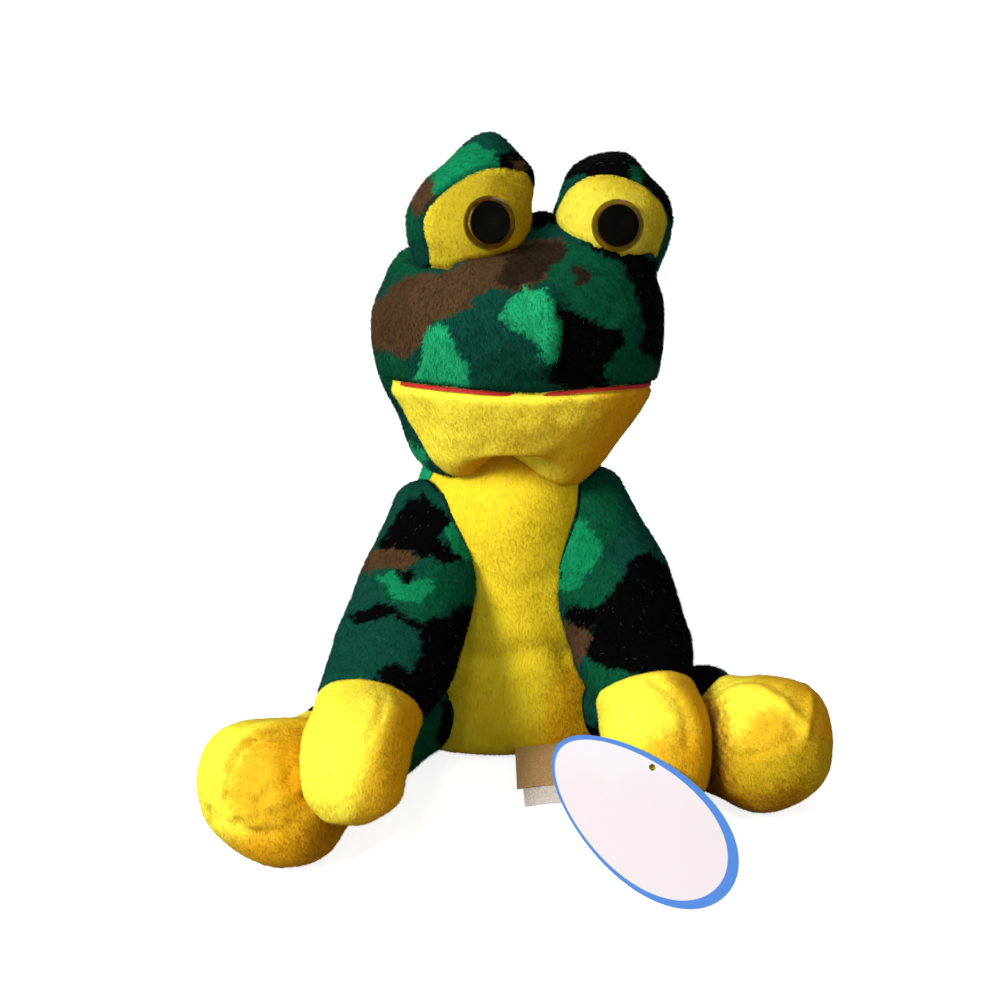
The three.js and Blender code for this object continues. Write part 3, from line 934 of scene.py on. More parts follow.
class Socket:
    """A shader value that takes Python's arithmetic."""

    def __init__(self, graph: "Graph", output: Any) -> None:
        """Wraps an output.

        Args:
            graph: The graph that the output belongs to.
            output: The node's output socket.
        """
        self.graph = graph
        self.output = output

    def maths(self, operation: str, *others: Any) -> "Socket":
        """Adds a Math node that starts from this value."""
        values = {place: value for place, value in enumerate((self, *others))}
        return self.graph.node("ShaderNodeMath", {"operation": operation}, values)

    def __add__(self, other: Any) -> "Socket":
        """Returns the sum."""
        return self.maths("ADD", other)

    __radd__ = __add__

    def __sub__(self, other: Any) -> "Socket":
        """Returns the difference."""
        return self.maths("SUBTRACT", other)

    def __rsub__(self, other: Any) -> "Socket":
        """Returns the difference from a number."""
        return self.graph.node("ShaderNodeMath", {"operation": "SUBTRACT"}, {0: other, 1: self})

    def __mul__(self, other: Any) -> "Socket":
        """Returns the product."""
        return self.maths("MULTIPLY", other)

    __rmul__ = __mul__

    def __truediv__(self, other: Any) -> "Socket":
        """Returns the quotient."""
        return self.maths("DIVIDE", other)

    def __rtruediv__(self, other: Any) -> "Socket":
        """Returns a number divided by the value."""
        return self.graph.node("ShaderNodeMath", {"operation": "DIVIDE"}, {0: other, 1: self})

    def __pow__(self, other: Any) -> "Socket":
        """Returns the power."""
        return self.maths("POWER", other)

    def above(self, level: float, softness: float) -> "Socket":
        """Returns 0 below a level and 1 above it, with a soft edge.

        Args:
            level: The middle of the edge.
            softness: Half the width of the edge.

        Returns:
            The mask.
        """
        ends = {1: level - softness, 2: level + softness}
        return self.graph.node("ShaderNodeMapRange", {"interpolation_type": "SMOOTHSTEP"}, {0: self, **ends})


class Graph:
    """The nodes of a material or of the world."""

    def __init__(self, owner: bpy.types.ID) -> None:
        """Clears the nodes.

        Args:
            owner: The material or world.
        """
        self.owner = owner
        owner.use_nodes = True
        self.tree = owner.node_tree
        self.tree.nodes.clear()

    def node(
        self, kind: str, settings: dict[str, Any] | None = None, values: dict | None = None, out: Any = 0
    ) -> Socket:
        """Adds a node of any kind.

        Args:
            kind: The node's type.
            settings: What is set on the node itself, first.
            values: Numbers, colours or links for its sockets, by name or place.
            out: The output that is returned.

        Returns:
            The wrapped output, which is empty where the node has none.
        """
        made = self.tree.nodes.new(kind)
        for key, value in (settings or {}).items():
            setattr(made, key, value)
        for key, value in (values or {}).items():
            if isinstance(value, Socket):
                self.tree.links.new(value.output, made.inputs[key])
            else:
                made.inputs[key].default_value = value
        return Socket(self, made.outputs[out] if len(made.outputs) else None)

    def places(self) -> Socket:
        """Returns the object's own coordinates."""
        return self.node("ShaderNodeTexCoord", out="Object")

    def noise(self, size: float, detail: float = 2.0, where: Socket | None = None) -> Socket:
        """Returns noise with lumps of a size in millimetres."""
        values = {"Vector": where or self.places(), "Scale": 1.0 / (size * MM), "Detail": detail}
        return self.node("ShaderNodeTexNoise", values=values, out="Fac")

    def mixed(self, share: Any, first: Any, second: Any, kind: str = "MIX") -> Socket:
        """Returns two colours mixed."""
        settings = {"data_type": "RGBA", "blend_type": kind}
        return self.node("ShaderNodeMix", settings, {0: share, 6: first, 7: second}, out=2)

    def stretched(self, scale: tuple[float, float, float]) -> Socket:
        """Returns the object's coordinates scaled along each axis."""
        return self.node("ShaderNodeVectorMath", {"operation": "MULTIPLY"}, {0: self.places(), 1: scale})

    def bump(self, height: Socket, depth: float, strength: float = 1.0) -> Socket:
        """Returns a normal bent by a height in millimetres."""
        values = {"Height": height, "Distance": depth * MM, "Strength": strength}
        return self.node("ShaderNodeBump", values=values)

    def grey(self, level: Socket) -> Socket:
        """Returns a grey of a level."""
        return self.node("ShaderNodeCombineColor", values={0: level, 1: level, 2: level})

    def principled(self, values: dict[str, Any]) -> bpy.types.Material:
        """Ends the material in one shader.

        Args:
            values: The shader's sockets.

        Returns:
            The material.
        """
        shader = self.node("ShaderNodeBsdfPrincipled", values=values)
        self.node("ShaderNodeOutputMaterial", values={"Surface": shader})
        return self.owner


@dataclass(frozen=True)
class PlushFinish:
    """Dyed pile cloth with a soft sheen."""

    name: str
    sheen: float
    sheen_tint: Colour
    streaks: float
    gloss: float

    def build(self) -> bpy.types.Material:
        """Makes the material.

        Returns:
            The material, which reads the print, with its painted shade and light, from the mesh.
        """
        graph = Graph(bpy.data.materials.new(self.name))
        print_and_painted_colour = graph.node("ShaderNodeVertexColor", {"layer_name": "print"}, out="Color")
        nap = graph.noise(1.2, 3.0, graph.stretched((1.0, 1.0, 0.4)))
        cloudy = graph.noise(7.0, 2.0)
        level = 1.0 - self.streaks + 2.0 * self.streaks * (0.5 * nap + 0.5 * cloudy)
        colour = graph.mixed(1.0, print_and_painted_colour, graph.grey(level), "MULTIPLY")
        height = 0.6 * graph.noise(0.7, 2.0, graph.stretched((1.0, 1.0, 0.5))) + 0.4 * graph.noise(2.4, 2.0)
        return graph.principled(
            {
                "Base Color": colour,
                "Roughness": 0.8 + 0.16 * nap,
                "Specular IOR Level": self.gloss,
                "Sheen Weight": self.sheen,
                "Sheen Roughness": 0.4,
                "Sheen Tint": self.sheen_tint,
                "Normal": graph.bump(height, 0.4, 0.8),
            }
        )


@dataclass(frozen=True)
class FeltFinish:
    """Plain felt or ribbon."""

    name: str
    colour: Colour
    grain: float
    roughness: float = 0.85
    ribs: float = 0.0
    sheen: float = 0.1

    def build(self) -> bpy.types.Material:
        """Makes the material.

        Returns:
            The material.
        """
        graph = Graph(bpy.data.materials.new(self.name))
        grain = graph.noise(self.grain, 3.0)
        darker = tuple(0.72 * value for value in self.colour[:3]) + (1.0,)
        colour = graph.mixed(grain.above(0.5, 0.2), darker, self.colour)
        height = grain
        if self.ribs:
            wave = {"wave_type": "BANDS", "bands_direction": "Y"}
            values = {"Vector": graph.places(), "Scale": 1.0 / (self.ribs * MM * 3.0)}
            height = 0.5 * grain + 0.5 * graph.node("ShaderNodeTexWave", wave, values, out="Fac")
        return graph.principled(
            {
                "Base Color": colour,
                "Roughness": self.roughness - 0.15 * grain,
                "Sheen Weight": self.sheen,
                "Normal": graph.bump(height, 0.12, 0.6),
            }
        )


@dataclass(frozen=True)
class PlasticFinish:
    """Moulded plastic, clear or solid."""

    name: str
    colour: Colour
    roughness: float
    clear: float = 0.0
    swirl: float = 0.15
    gloss: float = 0.5
    coat: float = 0.3
    density: float = 1.49
    mirror: float = 1.0

    def build(self) -> bpy.types.Material:
        """Makes the material.

        Returns:
            The material.
        """
        graph = Graph(bpy.data.materials.new(self.name))
        cloud = graph.noise(3.0, 2.0)
        darker = tuple((1.0 - self.swirl) * value for value in self.colour[:3]) + (1.0,)
        values = {
            "Base Color": graph.mixed(cloud, darker, self.colour),
            "Roughness": self.roughness + 0.03 * graph.noise(0.7, 2.0),
            "IOR": self.density,
            "Transmission Weight": self.clear,
            "Specular IOR Level": self.gloss,
            "Specular Tint": (self.mirror, self.mirror, self.mirror, 1.0),
            "Coat Weight": self.coat,
            "Coat Roughness": 0.03,
        }
        return graph.principled(values)


@dataclass(frozen=True)
class TagFinish:
    """Coated card with a printed border, drawn in the card's own plane."""

    name: str
    paper: Colour
    border: Colour
    blush: Colour
    length: float = 67.0
    width: float = 37.5
    wide_end_share: float = 0.16
    slope: float = 40.0
    twist: float = -47.5
    border_share: float = 0.925
    border_shift: tuple[float, float] = (0.03, 0.025)

    def axes(self) -> tuple[Points, Points, Points]:
        """Works out the card's directions.

        Returns:
            The directions along, aside and out of its face.
        """
        turn, slope = math.radians(self.twist), math.radians(self.slope)
        lift = np.array([0.0, math.cos(slope), math.sin(slope)])
        across = np.array([1.0, 0.0, 0.0])
        along = math.cos(turn) * across + math.sin(turn) * lift
        aside = -math.sin(turn) * across + math.cos(turn) * lift
        return along, aside, np.cross(along, aside)

    def build(self, middle: Points) -> bpy.types.Material:
        """Makes the material.

        Args:
            middle: The middle of the egg in metres.

        Returns:
            The material.
        """
        graph = Graph(bpy.data.materials.new(self.name))
        along, aside, _ = self.axes()
        less = {"operation": "SUBTRACT"}
        spot = graph.node("ShaderNodeVectorMath", less, {0: graph.places(), 1: tuple(middle)})

        def measured(direction: Points, half: float) -> Socket:
            """Measures the place along a direction.

            Args:
                direction: The direction.
                half: Half the card's size that way, in millimetres.

            Returns:
                The place, in shares of that half.
            """
            dot = {"operation": "DOT_PRODUCT"}
            values = {0: spot, 1: tuple(direction)}
            return graph.node("ShaderNodeVectorMath", dot, values, out="Value") / (half * MM)

        lengthwise = measured(along, self.length / 2.0)
        sideways = measured(aside, self.width / 2.0) / (1.0 + self.wide_end_share * lengthwise)
        along_inner, inner = lengthwise + self.border_shift[0], sideways + self.border_shift[1]
        reach = (along_inner * along_inner + inner * inner) ** 0.5
        edge = reach.above(self.border_share, 0.006)
        fade = (0.5 * sideways - 0.5 * lengthwise + 0.5 * graph.noise(12.0, 1.0)).above(0.75, 0.4)
        face = graph.mixed(0.5 - 0.5 * fade, self.paper, self.blush)
        speckle = graph.noise(0.5, 2.0)
        colour = graph.mixed(edge, face, self.border)
        return graph.principled(
            {
                "Base Color": colour,
                "Roughness": 0.28 + 0.1 * speckle,
                "Coat Weight": 0.25,
                "Coat Roughness": 0.12,
                "Normal": graph.bump(0.5 * speckle + 0.5 * graph.noise(9.0, 1.0), 0.08, 0.4),
            }
        )


@dataclass(frozen=True)
class Finishes:
    """Every finish of the toy, made once."""

    camouflage: bpy.types.Material
    yellow: bpy.types.Material
    felt: bpy.types.Material
    fibre: bpy.types.Material
    lens: bpy.types.Material
    pupil: bpy.types.Material
    washer: bpy.types.Material
    beige: bpy.types.Material
    white: bpy.types.Material

    @classmethod
    def made(cls) -> "Finishes":
        """Makes the materials.

        Returns:
            All of them.
        """
        return cls(
            camouflage=PlushFinish("camouflage_pile", 0.012, linear("5fb08a"), 0.28, 0.02).build(),
            yellow=PlushFinish("yellow_pile", 0.04, linear("ffe070"), 0.06, 0.05).build(),
            felt=FeltFinish("red_felt", linear("c01408"), 0.8, sheen=0.02).build(),
            fibre=FeltFinish("stuffing_fibre", linear("f2f0ea"), 1.5).build(),
            lens=PlasticFinish(
                "clear_lens",
                linear("c8b89c"),
                0.02,
                clear=1.0,
                swirl=0.04,
                coat=0.05,
                density=1.22,
                mirror=0.2,
            ).build(),
            pupil=PlasticFinish("black_pupil", linear("010101"), 0.5, gloss=0.02, coat=0.0).build(),
            washer=PlasticFinish("washer_plastic", linear("e8e6df"), 0.45).build(),
            beige=FeltFinish("beige_ribbon", linear("cba26c"), 0.6, 0.6, 0.35).build(),
            white=FeltFinish("white_ribbon", linear("f3ebe6"), 0.6, 0.55, 0.35).build(),
        )


class Maker:
    """Adds finished pieces to the scene and ties them to their bodies."""

    def __init__(self, finishes: Finishes) -> None:
        """Keeps the finishes.

        Args:
            finishes: The toy's materials.
        """
        self.finishes = finishes

    def cover(
        self,
        node: str,
        form: Form,
        cloth: Cloth,
        body: str,
        patches: Sequence[Patch],
        inside: Sequence[str] = (),
    ) -> bpy.types.Object:
        """Builds one plush cover.

        Args:
            node: The construction's name for it.
            form: Its outer skin.
            cloth: Which plush it is sewn from.
            body: The body that it rides on.
            patches: The placed patches of its print, which are painted shade on the yellow cloth.
            inside: The solids inside it, which it stands for as well.

        Returns:
            The cover.
        """
        if cloth is Cloth.CAMOUFLAGE:
            print_and_shade, pile, finish = CamouflagePrint(tuple(patches)), CAMOUFLAGE_PILE, self.finishes.camouflage
        else:
            # The yellow cloth's colours carry painted shade.
            print_and_shade, pile, finish = YellowPrintWithPaintedShade(tuple(patches)), YELLOW_PILE, self.finishes.yellow
        piece = Cover(f"plush_{node}", form, print_and_shade, pile).build()
        self.finished(piece, finish, body, (node, *inside))
        return piece

    def finished(
        self,
        piece: bpy.types.Object,
        finish: bpy.types.Material,
        body: str,
        stands_for: Sequence[str],
    ) -> None:
        """Gives a piece its material and body.

        Args:
            piece: The piece.
            finish: Its material.
            body: The body that it rides on, or nothing, which leaves it on no body.
            stands_for: The solids that it replaces.
        """
        dress(piece, finish)
        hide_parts(*stands_for)
        if body:
            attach(piece, body)
        log.info("%s: %d faces", piece.name, len(piece.data.polygons))


@dataclass(frozen=True)
class Torso:
    """The pear-shaped body and the ball at its top that the head turns on."""

    centre_y: float = NECK_CENTRE[1]
    neck_height: float = NECK_CENTRE[2]
    neck_radius: float = 30.0
    inset: float = 0.7
    belly_seam_y: float = -8.0
    sides: int = 200
    rows: int = 96
    ball_rows: int = 30
    bare_depth: float = 1.0
    seam_roll: tuple[float, float] = (2.2, 1.0)
    stuffing: tuple[tuple[int, float, float], ...] = ((11, 17.0, 0.7), (12, 6.0, 0.25))
    profile: tuple[tuple[float, float, float, float], ...] = (
        (0.0, 0.0, 0.0, 0.8),
        (0.0, 22.0, 22.0, 0.76),
        (0.3, 33.0, 34.2, 0.72),
        (2.8, 37.8, 37.6, 0.72),
        (10.0, 39.5, 37.8, 0.78),
        (20.0, 39.2, 36.6, 0.86),
        (32.0, 37.4, 34.8, 0.94),
        (46.2, 34.3, 32.6, 1.0),
        (63.9, 31.1, 30.7, 1.0),
        (80.0, 30.0, 30.0, 1.0),
    )

    def outline(self) -> Points:
        """Works out the torso's outline, from the seat up to the crown of the ball.

        Returns:
            Rows of height, half width, half depth and roundness.
        """
        side = Spline(self.profile, 400)
        lower = [side.point(step) for step in np.linspace(1.0, side.length, self.rows)]
        angles = np.radians(np.linspace(2.5, 87.5, self.ball_rows))
        ball = [
            (self.neck_height + self.neck_radius * math.sin(a), *[self.neck_radius * math.cos(a)] * 2, 1.0)
            for a in angles
        ]
        return np.array([*lower, *ball])

    def form(self) -> Form:
        """Makes the whole torso.

        Returns:
            The torso before it is cut along its side seams.
        """
        rows = self.outline()
        angles = around(self.sides)
        half_width = np.maximum(rows[:, 1] - self.inset, 0.2)[:, None]
        half_depth = np.maximum(rows[:, 2] - self.inset, 0.2)[:, None]
        x = half_width * bowed(np.cos(angles), rows[:, 3:])
        y = self.centre_y + half_depth * bowed(np.sin(angles), rows[:, 3:])
        z = np.repeat(rows[:, :1], self.sides, axis=1)
        grid = np.stack([x, y, z], axis=2)
        top = (0.0, self.centre_y, self.neck_height + self.neck_radius)
        return Form.lofted(grid, np.array([0.0, self.centre_y, 0.0]), np.array(top))

    def press(self, form: Form, clearance: float) -> Points:
        """Flattens another form sideways where it would enter the torso.

        Args:
            form: The form that is pressed.
            clearance: The distance that it keeps.

        Returns:
            How far outside the torso each point lay before, negative inside.
        """
        rows = self.outline()
        rows = rows[np.argsort(rows[:, 0], kind="stable")]
        z = np.maximum(form.points[:, 2], 2.8)
        spans = (np.interp(z, rows[:, 0], rows[:, k], right=0.01) for k in (1, 2, 3))
        half_width, half_depth, roundness = spans
        x, y = form.points[:, 0], form.points[:, 1] - self.centre_y
        power = 2.0 / np.maximum(roundness, 0.5)
        across = np.abs(x / (half_width + clearance)) ** power
        reach = (across + np.abs(y / (half_depth + clearance)) ** power) ** (1.0 / power)
        below = z < self.neck_height + self.neck_radius
        inside = (reach < 1.0) & below
        form.points[inside, 0] = x[inside] / reach[inside]
        form.points[inside, 1] = y[inside] / reach[inside] + self.centre_y
        form.bare[inside & ((1.0 - reach) * half_width > self.bare_depth)] = 1.0
        return np.where(below, (reach - 1.0) * half_width, FAR)

    def build(self, maker: Maker) -> None:
        """Builds the belly and back covers.

        Args:
            maker: Adds the pieces.
        """
        form = self.form()
        form.ruffles(*self.stuffing)
        form.sculpt((), BELLY_FOLDS)
        back_seam = [(0.0, self.centre_y + 40.0, height) for height in np.linspace(2.0, 100.0, 30)]
        form.ridge_near(back_seam, BACK_SEAM_WIDTH, -BACK_SEAM_DEPTH)
        form.rest_on_floor()
        values = form.points[:, 1] - self.belly_seam_y
        form.pull_in(np.where(form.points[:, 2] > 1.0, values, FAR), *self.seam_roll)
        belly, back = form.split(values)
        inside = ("torso_stuffing", "seat_pellet_bag")
        maker.cover("torso_belly_cover", belly, Cloth.YELLOW, "torso", BELLY_SHADE_PATCHES)
        maker.cover("torso_back_cover", back, Cloth.CAMOUFLAGE, "torso", BACK_PATCHES, inside)


BELLY_FOLDS = (
    (((462, 650), (495, 660), (530, 652), (566, 655), (588, 648)), 4.0, -1.5),
    (((484, 575), (515, 590), (548, 578)), 4.0, -0.7),
    (((540, 600), (556, 640), (572, 668)), 4.0, -0.8),
)


# Painted shade on the yellow belly: a honey tone over it all, gold at its lower right, and a painted shadow
# under the chin.
BELLY_SHADE_PATCHES = (
    Patch(Dye.HONEY_SHADE, ((400, 440), (640, 440), (640, 775), (400, 775))),
    Patch(Dye.GOLD_SHADE, ((560, 660), (610, 660), (610, 775), (540, 775), (550, 710))),
    Patch(Dye.GOLD_SHADE, ((470, 448), (545, 448), (540, 478), (505, 470), (474, 478))),
)

BACK_PATCHES = (
    Patch(Dye.BRIGHT_GREEN, ((402, 440), (430, 450), (436, 505), (402, 505))),
    Patch(Dye.GREEN, ((585, 470), (640, 470), (640, 500), (590, 500))),
    Patch(Dye.BLACK, ((575, 720), (600, 730), (604, 765), (575, 765))),
)


@dataclass(frozen=True)
class HeadPose:
    """Where the head's own frame stands in the toy's frame."""

    centre: tuple[float, float, float] = NECK_CENTRE
    turn: float = 6.0
    tilt: float = -17.0
    roll: float = 5.0

    def matrix(self) -> Matrix:
        """Works out where the head's frame stands.

        Returns:
            The matrix from the head's own frame to the toy's.
        """
        turn = Matrix.Rotation(math.radians(self.turn), 4, "Z")
        tilt = Matrix.Rotation(math.radians(self.tilt), 4, "X")
        roll = Matrix.Rotation(math.radians(self.roll), 4, "Y")
        return Matrix.Translation(Vector(self.centre)) @ turn @ tilt @ roll


HEAD_PATCHES = (
    Patch(Dye.GREEN, ((372, 356), (405, 358), (413, 384), (376, 384))),
    Patch(Dye.GREEN, ((384, 272), (392, 250), (412, 248), (436, 262), (432, 272), (409, 276))),
    Patch(Dye.BROWN, (
        (364, 310), (392, 284), (409, 276), (436, 274), (455, 266), (474, 257), (493, 249), (523, 243),
        (558, 240), (577, 251), (569, 261), (550, 268), (542, 284), (527, 292), (508, 293), (493, 287),
        (478, 291), (470, 306), (455, 314), (436, 322), (421, 344), (409, 357), (390, 353), (364, 345),
    )),
    Patch(Dye.BRIGHT_GREEN, (
        (421, 363), (428, 333), (442, 322), (453, 333), (457, 352), (465, 363), (471, 386), (413, 382),
    )),
    Patch(Dye.GREEN, (
        (550, 249), (596, 245), (626, 280), (641, 310), (634, 333), (649, 363), (641, 382), (611, 382),
        (603, 367), (611, 356), (626, 344), (622, 329), (596, 325), (573, 310), (558, 287), (546, 272),
    )),
    Patch(Dye.UMBER, ((571, 266), (586, 268), (590, 284), (577, 288))),
    Patch(Dye.UMBER, (
        (504, 262), (523, 246), (556, 242), (572, 252), (562, 262), (548, 268), (541, 283), (526, 290),
        (508, 290), (498, 280),
    )),
    Patch(Dye.BLACK, (
        (584, 242), (611, 247), (638, 253), (660, 257), (655, 272), (665, 302), (665, 333), (660, 363),
        (641, 348), (643, 325), (634, 287), (619, 264), (596, 253),
    )),
    Patch(Dye.BLACK, (
        (556, 304), (573, 308), (596, 325), (619, 329), (626, 344), (611, 356), (603, 367), (613, 388),
        (573, 390), (546, 382), (552, 363), (558, 348),
    )),
    Patch(Dye.BRIGHT_GREEN, (
        (501, 318), (508, 302), (523, 293), (546, 291), (558, 306), (559, 333), (555, 363), (542, 363),
        (537, 344), (523, 333), (510, 329),
    )),
    Patch(Dye.BLACK, ((523, 219), (531, 210), (545, 203), (562, 213), (556, 224), (535, 229))),
    Patch(Dye.BLACK, ((381, 398), (395, 403), (399, 425), (388, 426))),
    Patch(Dye.BRIGHT_GREEN, ((404, 440), (424, 448), (432, 505), (400, 505))),
)

HOOD_PATCHES = {
    "right": (
        Patch(Dye.GREEN, ((400, 215), (413, 203), (418, 235), (400, 250))),
        Patch(Dye.LEAF, (
            (426, 198), (434, 173), (449, 154), (474, 143), (494, 152), (501, 168), (485, 173), (459, 180),
            (440, 194),
        )),
        Patch(Dye.BLACK, (
            (493, 156), (504, 152), (523, 150), (540, 166), (541, 188), (523, 179), (501, 173),
        )),
        Patch(Dye.BROWN, ((510, 160), (527, 162), (524, 172), (508, 168))),
        Patch(Dye.BROWN, ((407, 190), (423, 172), (434, 184), (432, 200), (423, 207), (415, 218))),
    ),
    "left": (
        Patch(Dye.BLACK, (
            (556, 194), (562, 160), (578, 148), (603, 144), (638, 148), (646, 158), (666, 180), (678, 198),
            (676, 228), (664, 212), (649, 192), (626, 181), (603, 175), (580, 172), (565, 182),
        )),
        Patch(Dye.GREEN, ((626, 164), (641, 168), (645, 188), (630, 183))),
        Patch(Dye.GREEN, ((546, 190), (560, 186), (563, 208), (547, 208))),
    ),
}

# Painted shade on the right of the yellow chin.
CHIN_SHADE_PATCHES = (
    Patch(Dye.GOLD_SHADE, ((606, 388), (656, 384), (642, 422), (622, 458), (592, 486), (568, 470), (598, 430))),
)

# Painted shade on the yellow eye patches, deeper towards their outer sides.
EYE_SHADE_PATCHES = {
    "right": (
        Patch(Dye.MUSTARD_SHADE, ((435, 165), (550, 165), (550, 285), (425, 285), (425, 215))),
        Patch(Dye.OCHRE_SHADE, ((400, 165), (435, 165), (425, 215), (425, 285), (400, 285))),
    ),
    "left": (
        Patch(Dye.STRAW_SHADE, ((545, 150), (690, 150), (690, 290), (545, 290))),
        Patch(Dye.OCHRE_SHADE, ((585, 160), (690, 190), (690, 290), (650, 290), (640, 200), (580, 180))),
    ),
}


@dataclass(frozen=True)
class Head:
    """The head: crown, chin, mouth lining, eye domes and safety eyes."""

    half_width: float = 46.0
    muzzle_reach: float = 67.5
    nape_reach: float = 21.0
    bottom: float = 4.5
    top: float = 92.0
    mouth_height: float = 41.0
    chin_seam_y: float = -20.0
    roundness: float = 0.86
    inset: float = 0.7
    sides: int = 250
    rows: int = 190
    end_half: float = 0.3
    crown_rise: float = 1.2
    neck_radius: float = 29.8
    lip_sag: float = 2.4
    cleft_pixel: tuple[float, float] = (515, 468)
    cleft_width: float = 10.5
    cleft_height: float = 12.6
    cleft_top: float = 20.0
    sag_x: float = -10.0
    sag_width: float = 26.0
    seam_edge: float = 1.6
    cleft_fade: float = 9.0
    cleft_back: float = 8.0
    cleft_back_fade: float = 12.0
    neck_roll: tuple[float, float] = (3.0, 0.6)
    seam_roll: tuple[float, float] = (2.4, 1.3)
    lip_roll: tuple[float, float] = (3.6, 1.6)
    lip_height: float = 9.0
    stuffing: tuple[tuple[int, float, float], ...] = ((21, 15.0, 0.9), (22, 5.5, 0.3))
    lining_y: float = -23.0
    lining_rise: float = 0.2
    lining_thickness: float = 1.1
    lining_depth: float = 5.5
    lining_ends: tuple[float, float] = (-170.0, -14.0)
    lining_rows: int = 116
    lining_tuck: float = 0.9
    lining_tuck_middle: float = 1.8
    lining_tuck_width: float = 13.0
    height_shares: tuple[float, ...] = (
        0, 0.035, 0.1, 0.2, 0.315, 0.43, 0.55, 0.675, 0.775, 0.865, 0.935, 0.98,
    )
    width_shares: tuple[float, ...] = (0.26, 0.47, 0.6, 0.72, 0.85, 0.957, 1, 1, 0.946, 0.83, 0.62, 0.37)
    front_shares: tuple[float, ...] = (
        0.31, 0.46, 0.57, 0.69, 0.805, 0.889, 0.963, 1, 0.963, 0.83, 0.65, 0.49,
    )
    back_shares: tuple[float, ...] = (0.29, 0.57, 0.76, 0.905, 0.976, 1, 1, 0.95, 0.86, 0.67, 0.38, -0.1)
    pose: HeadPose = HeadPose()

    def skull(self) -> Form:
        """Makes the head without its eye domes, in the toy's frame.

        Returns:
            The head's form.
        """
        rise = self.top - self.bottom
        shares = zip(self.height_shares, self.width_shares, self.front_shares, self.back_shares)
        rows = [
            (
                self.bottom + rise * height,
                self.half_width * width,
                -self.muzzle_reach * front,
                self.nape_reach * back,
            )
            for height, width, front, back in shares
        ]
        (low, _, low_front, low_back), (high, _, high_front, high_back) = rows[0], rows[-1]
        low_y, high_y = (low_front + low_back) / 2.0, (high_front + high_back) / 2.0
        half = self.end_half
        rows.insert(0, (low, half, low_y - half, low_y + half))
        rows.append((high + self.crown_rise, half, high_y - half, high_y + half))
        side = Spline(rows, 600)
        steps = np.linspace(0.0, side.length, self.rows)
        profile = np.array([side.point(step) for step in steps])
        angles = around(self.sides)
        half_width = np.maximum(profile[:, 1] - self.inset, 0.2)[:, None]
        half_depth = np.maximum((profile[:, 3] - profile[:, 2]) / 2.0 - self.inset, 0.2)[:, None]
        middle_y = ((profile[:, 2] + profile[:, 3]) / 2.0)[:, None]
        x = half_width * bowed(np.cos(angles), self.roundness)
        y = middle_y + half_depth * bowed(np.sin(angles), self.roundness)
        z = np.repeat(profile[:, :1], self.sides, axis=1)
        grid = np.stack([x, y, z], axis=2)
        form = Form.lofted(grid, grid[0].mean(axis=0), grid[-1].mean(axis=0))
        form.move(self.pose.matrix())
        return form

    def own(self, points: Points) -> Points:
        """Returns points in the head's own frame."""
        return carried(points, self.pose.matrix().inverted())

    def sculpt(self, form: Form) -> None:
        """Shapes the brow, nose, lips and chin.

        Args:
            form: The head's form.
        """
        form.sculpt(HEAD_NUDGES)
        self.fold_chin(form)
        form.sculpt((), HEAD_SEAMS)
        for pixel, radius, amount in HEAD_SWELLS:
            form.swell(PHOTO.on_form(form, *pixel), radius, amount)
        matrix = self.pose.matrix()
        nape = [matrix @ Vector((0.0, 40.0, height)) for height in np.linspace(20.0, 88.0, 24)]
        form.ridge_near(nape, BACK_SEAM_WIDTH, -BACK_SEAM_DEPTH)
        form.ruffles(*self.stuffing)

    def fold_chin(self, form: Form) -> None:
        """Lifts the middle of the chin's underside, which leaves a lobe at either side.

        Args:
            form: The head's form.
        """
        own = self.own(form.points)
        middle = self.own(PHOTO.on_form(form, *self.cleft_pixel)[None])[0]
        across = np.exp(-(((own[:, 0] - middle[0]) / self.cleft_width) ** 2))
        low = smooth((self.cleft_top - own[:, 2]) / self.cleft_fade)
        front = smooth((self.cleft_back - own[:, 1]) / self.cleft_back_fade)
        lift = np.array(self.pose.matrix().to_3x3()) @ UP
        form.points += (self.cleft_height * across * (low * front))[:, None] * lift

    def opened(self, form: Form) -> Form:
        """Cuts the head open where the neck's ball fills it.

        Args:
            form: The head's form.

        Returns:
            The skin outside the ball, rolled in at its rim.
        """
        reach = np.linalg.norm(form.points - np.array(self.pose.centre), axis=1) - self.neck_radius
        form.pull_in(reach, *self.neck_roll)
        return form.split(reach)[1]

    def chin_values(self, points: Points) -> Points:
        """Measures points against the chin's seam.

        Args:
            points: Points in the toy's frame.

        Returns:
            Each one's distance from the seam, negative on the chin.
        """
        own = self.own(points)
        behind = own[:, 1] - self.chin_seam_y
        bulge = np.exp(-(((own[:, 0] - self.sag_x) / self.sag_width) ** 2))
        sag = self.lip_sag * bulge * (own[:, 1] < self.chin_seam_y)
        over = own[:, 2] - self.mouth_height + sag
        share = np.clip(0.5 + 0.5 * (behind - over) / self.seam_edge, 0.0, 1.0)
        return over * (1.0 - share) + behind * share + self.seam_edge * share * (1.0 - share)

    def build(self, maker: Maker) -> None:
        """Builds every piece of the head.

        Args:
            maker: Adds the pieces.
        """
        form = self.skull()
        self.sculpt(form)
        for name, side in SIDES.items():
            EyeDome(name, side, self.pose).keep_clear(form)
        skull = Form(form.points.copy(), form.faces, form.flat)
        form = self.opened(form)
        values = self.chin_values(form.points)
        on_lips = (self.own(form.points)[:, 1] < self.chin_seam_y) & (values > -self.lip_height)
        form.pull_in(values, *self.seam_roll)
        form.pull_in(np.where(on_lips, values, FAR), *self.lip_roll)
        chin, crown = form.split(values)
        inside = ("head_stuffing",)
        maker.cover("head_crown_cover", crown, Cloth.CAMOUFLAGE, "head", HEAD_PATCHES, inside)
        maker.cover("head_chin_cover", chin, Cloth.YELLOW, "head", CHIN_SHADE_PATCHES)
        self.build_lining(maker, skull)
        for name, side in SIDES.items():
            EyeDome(name, side, self.pose).build(maker, skull)

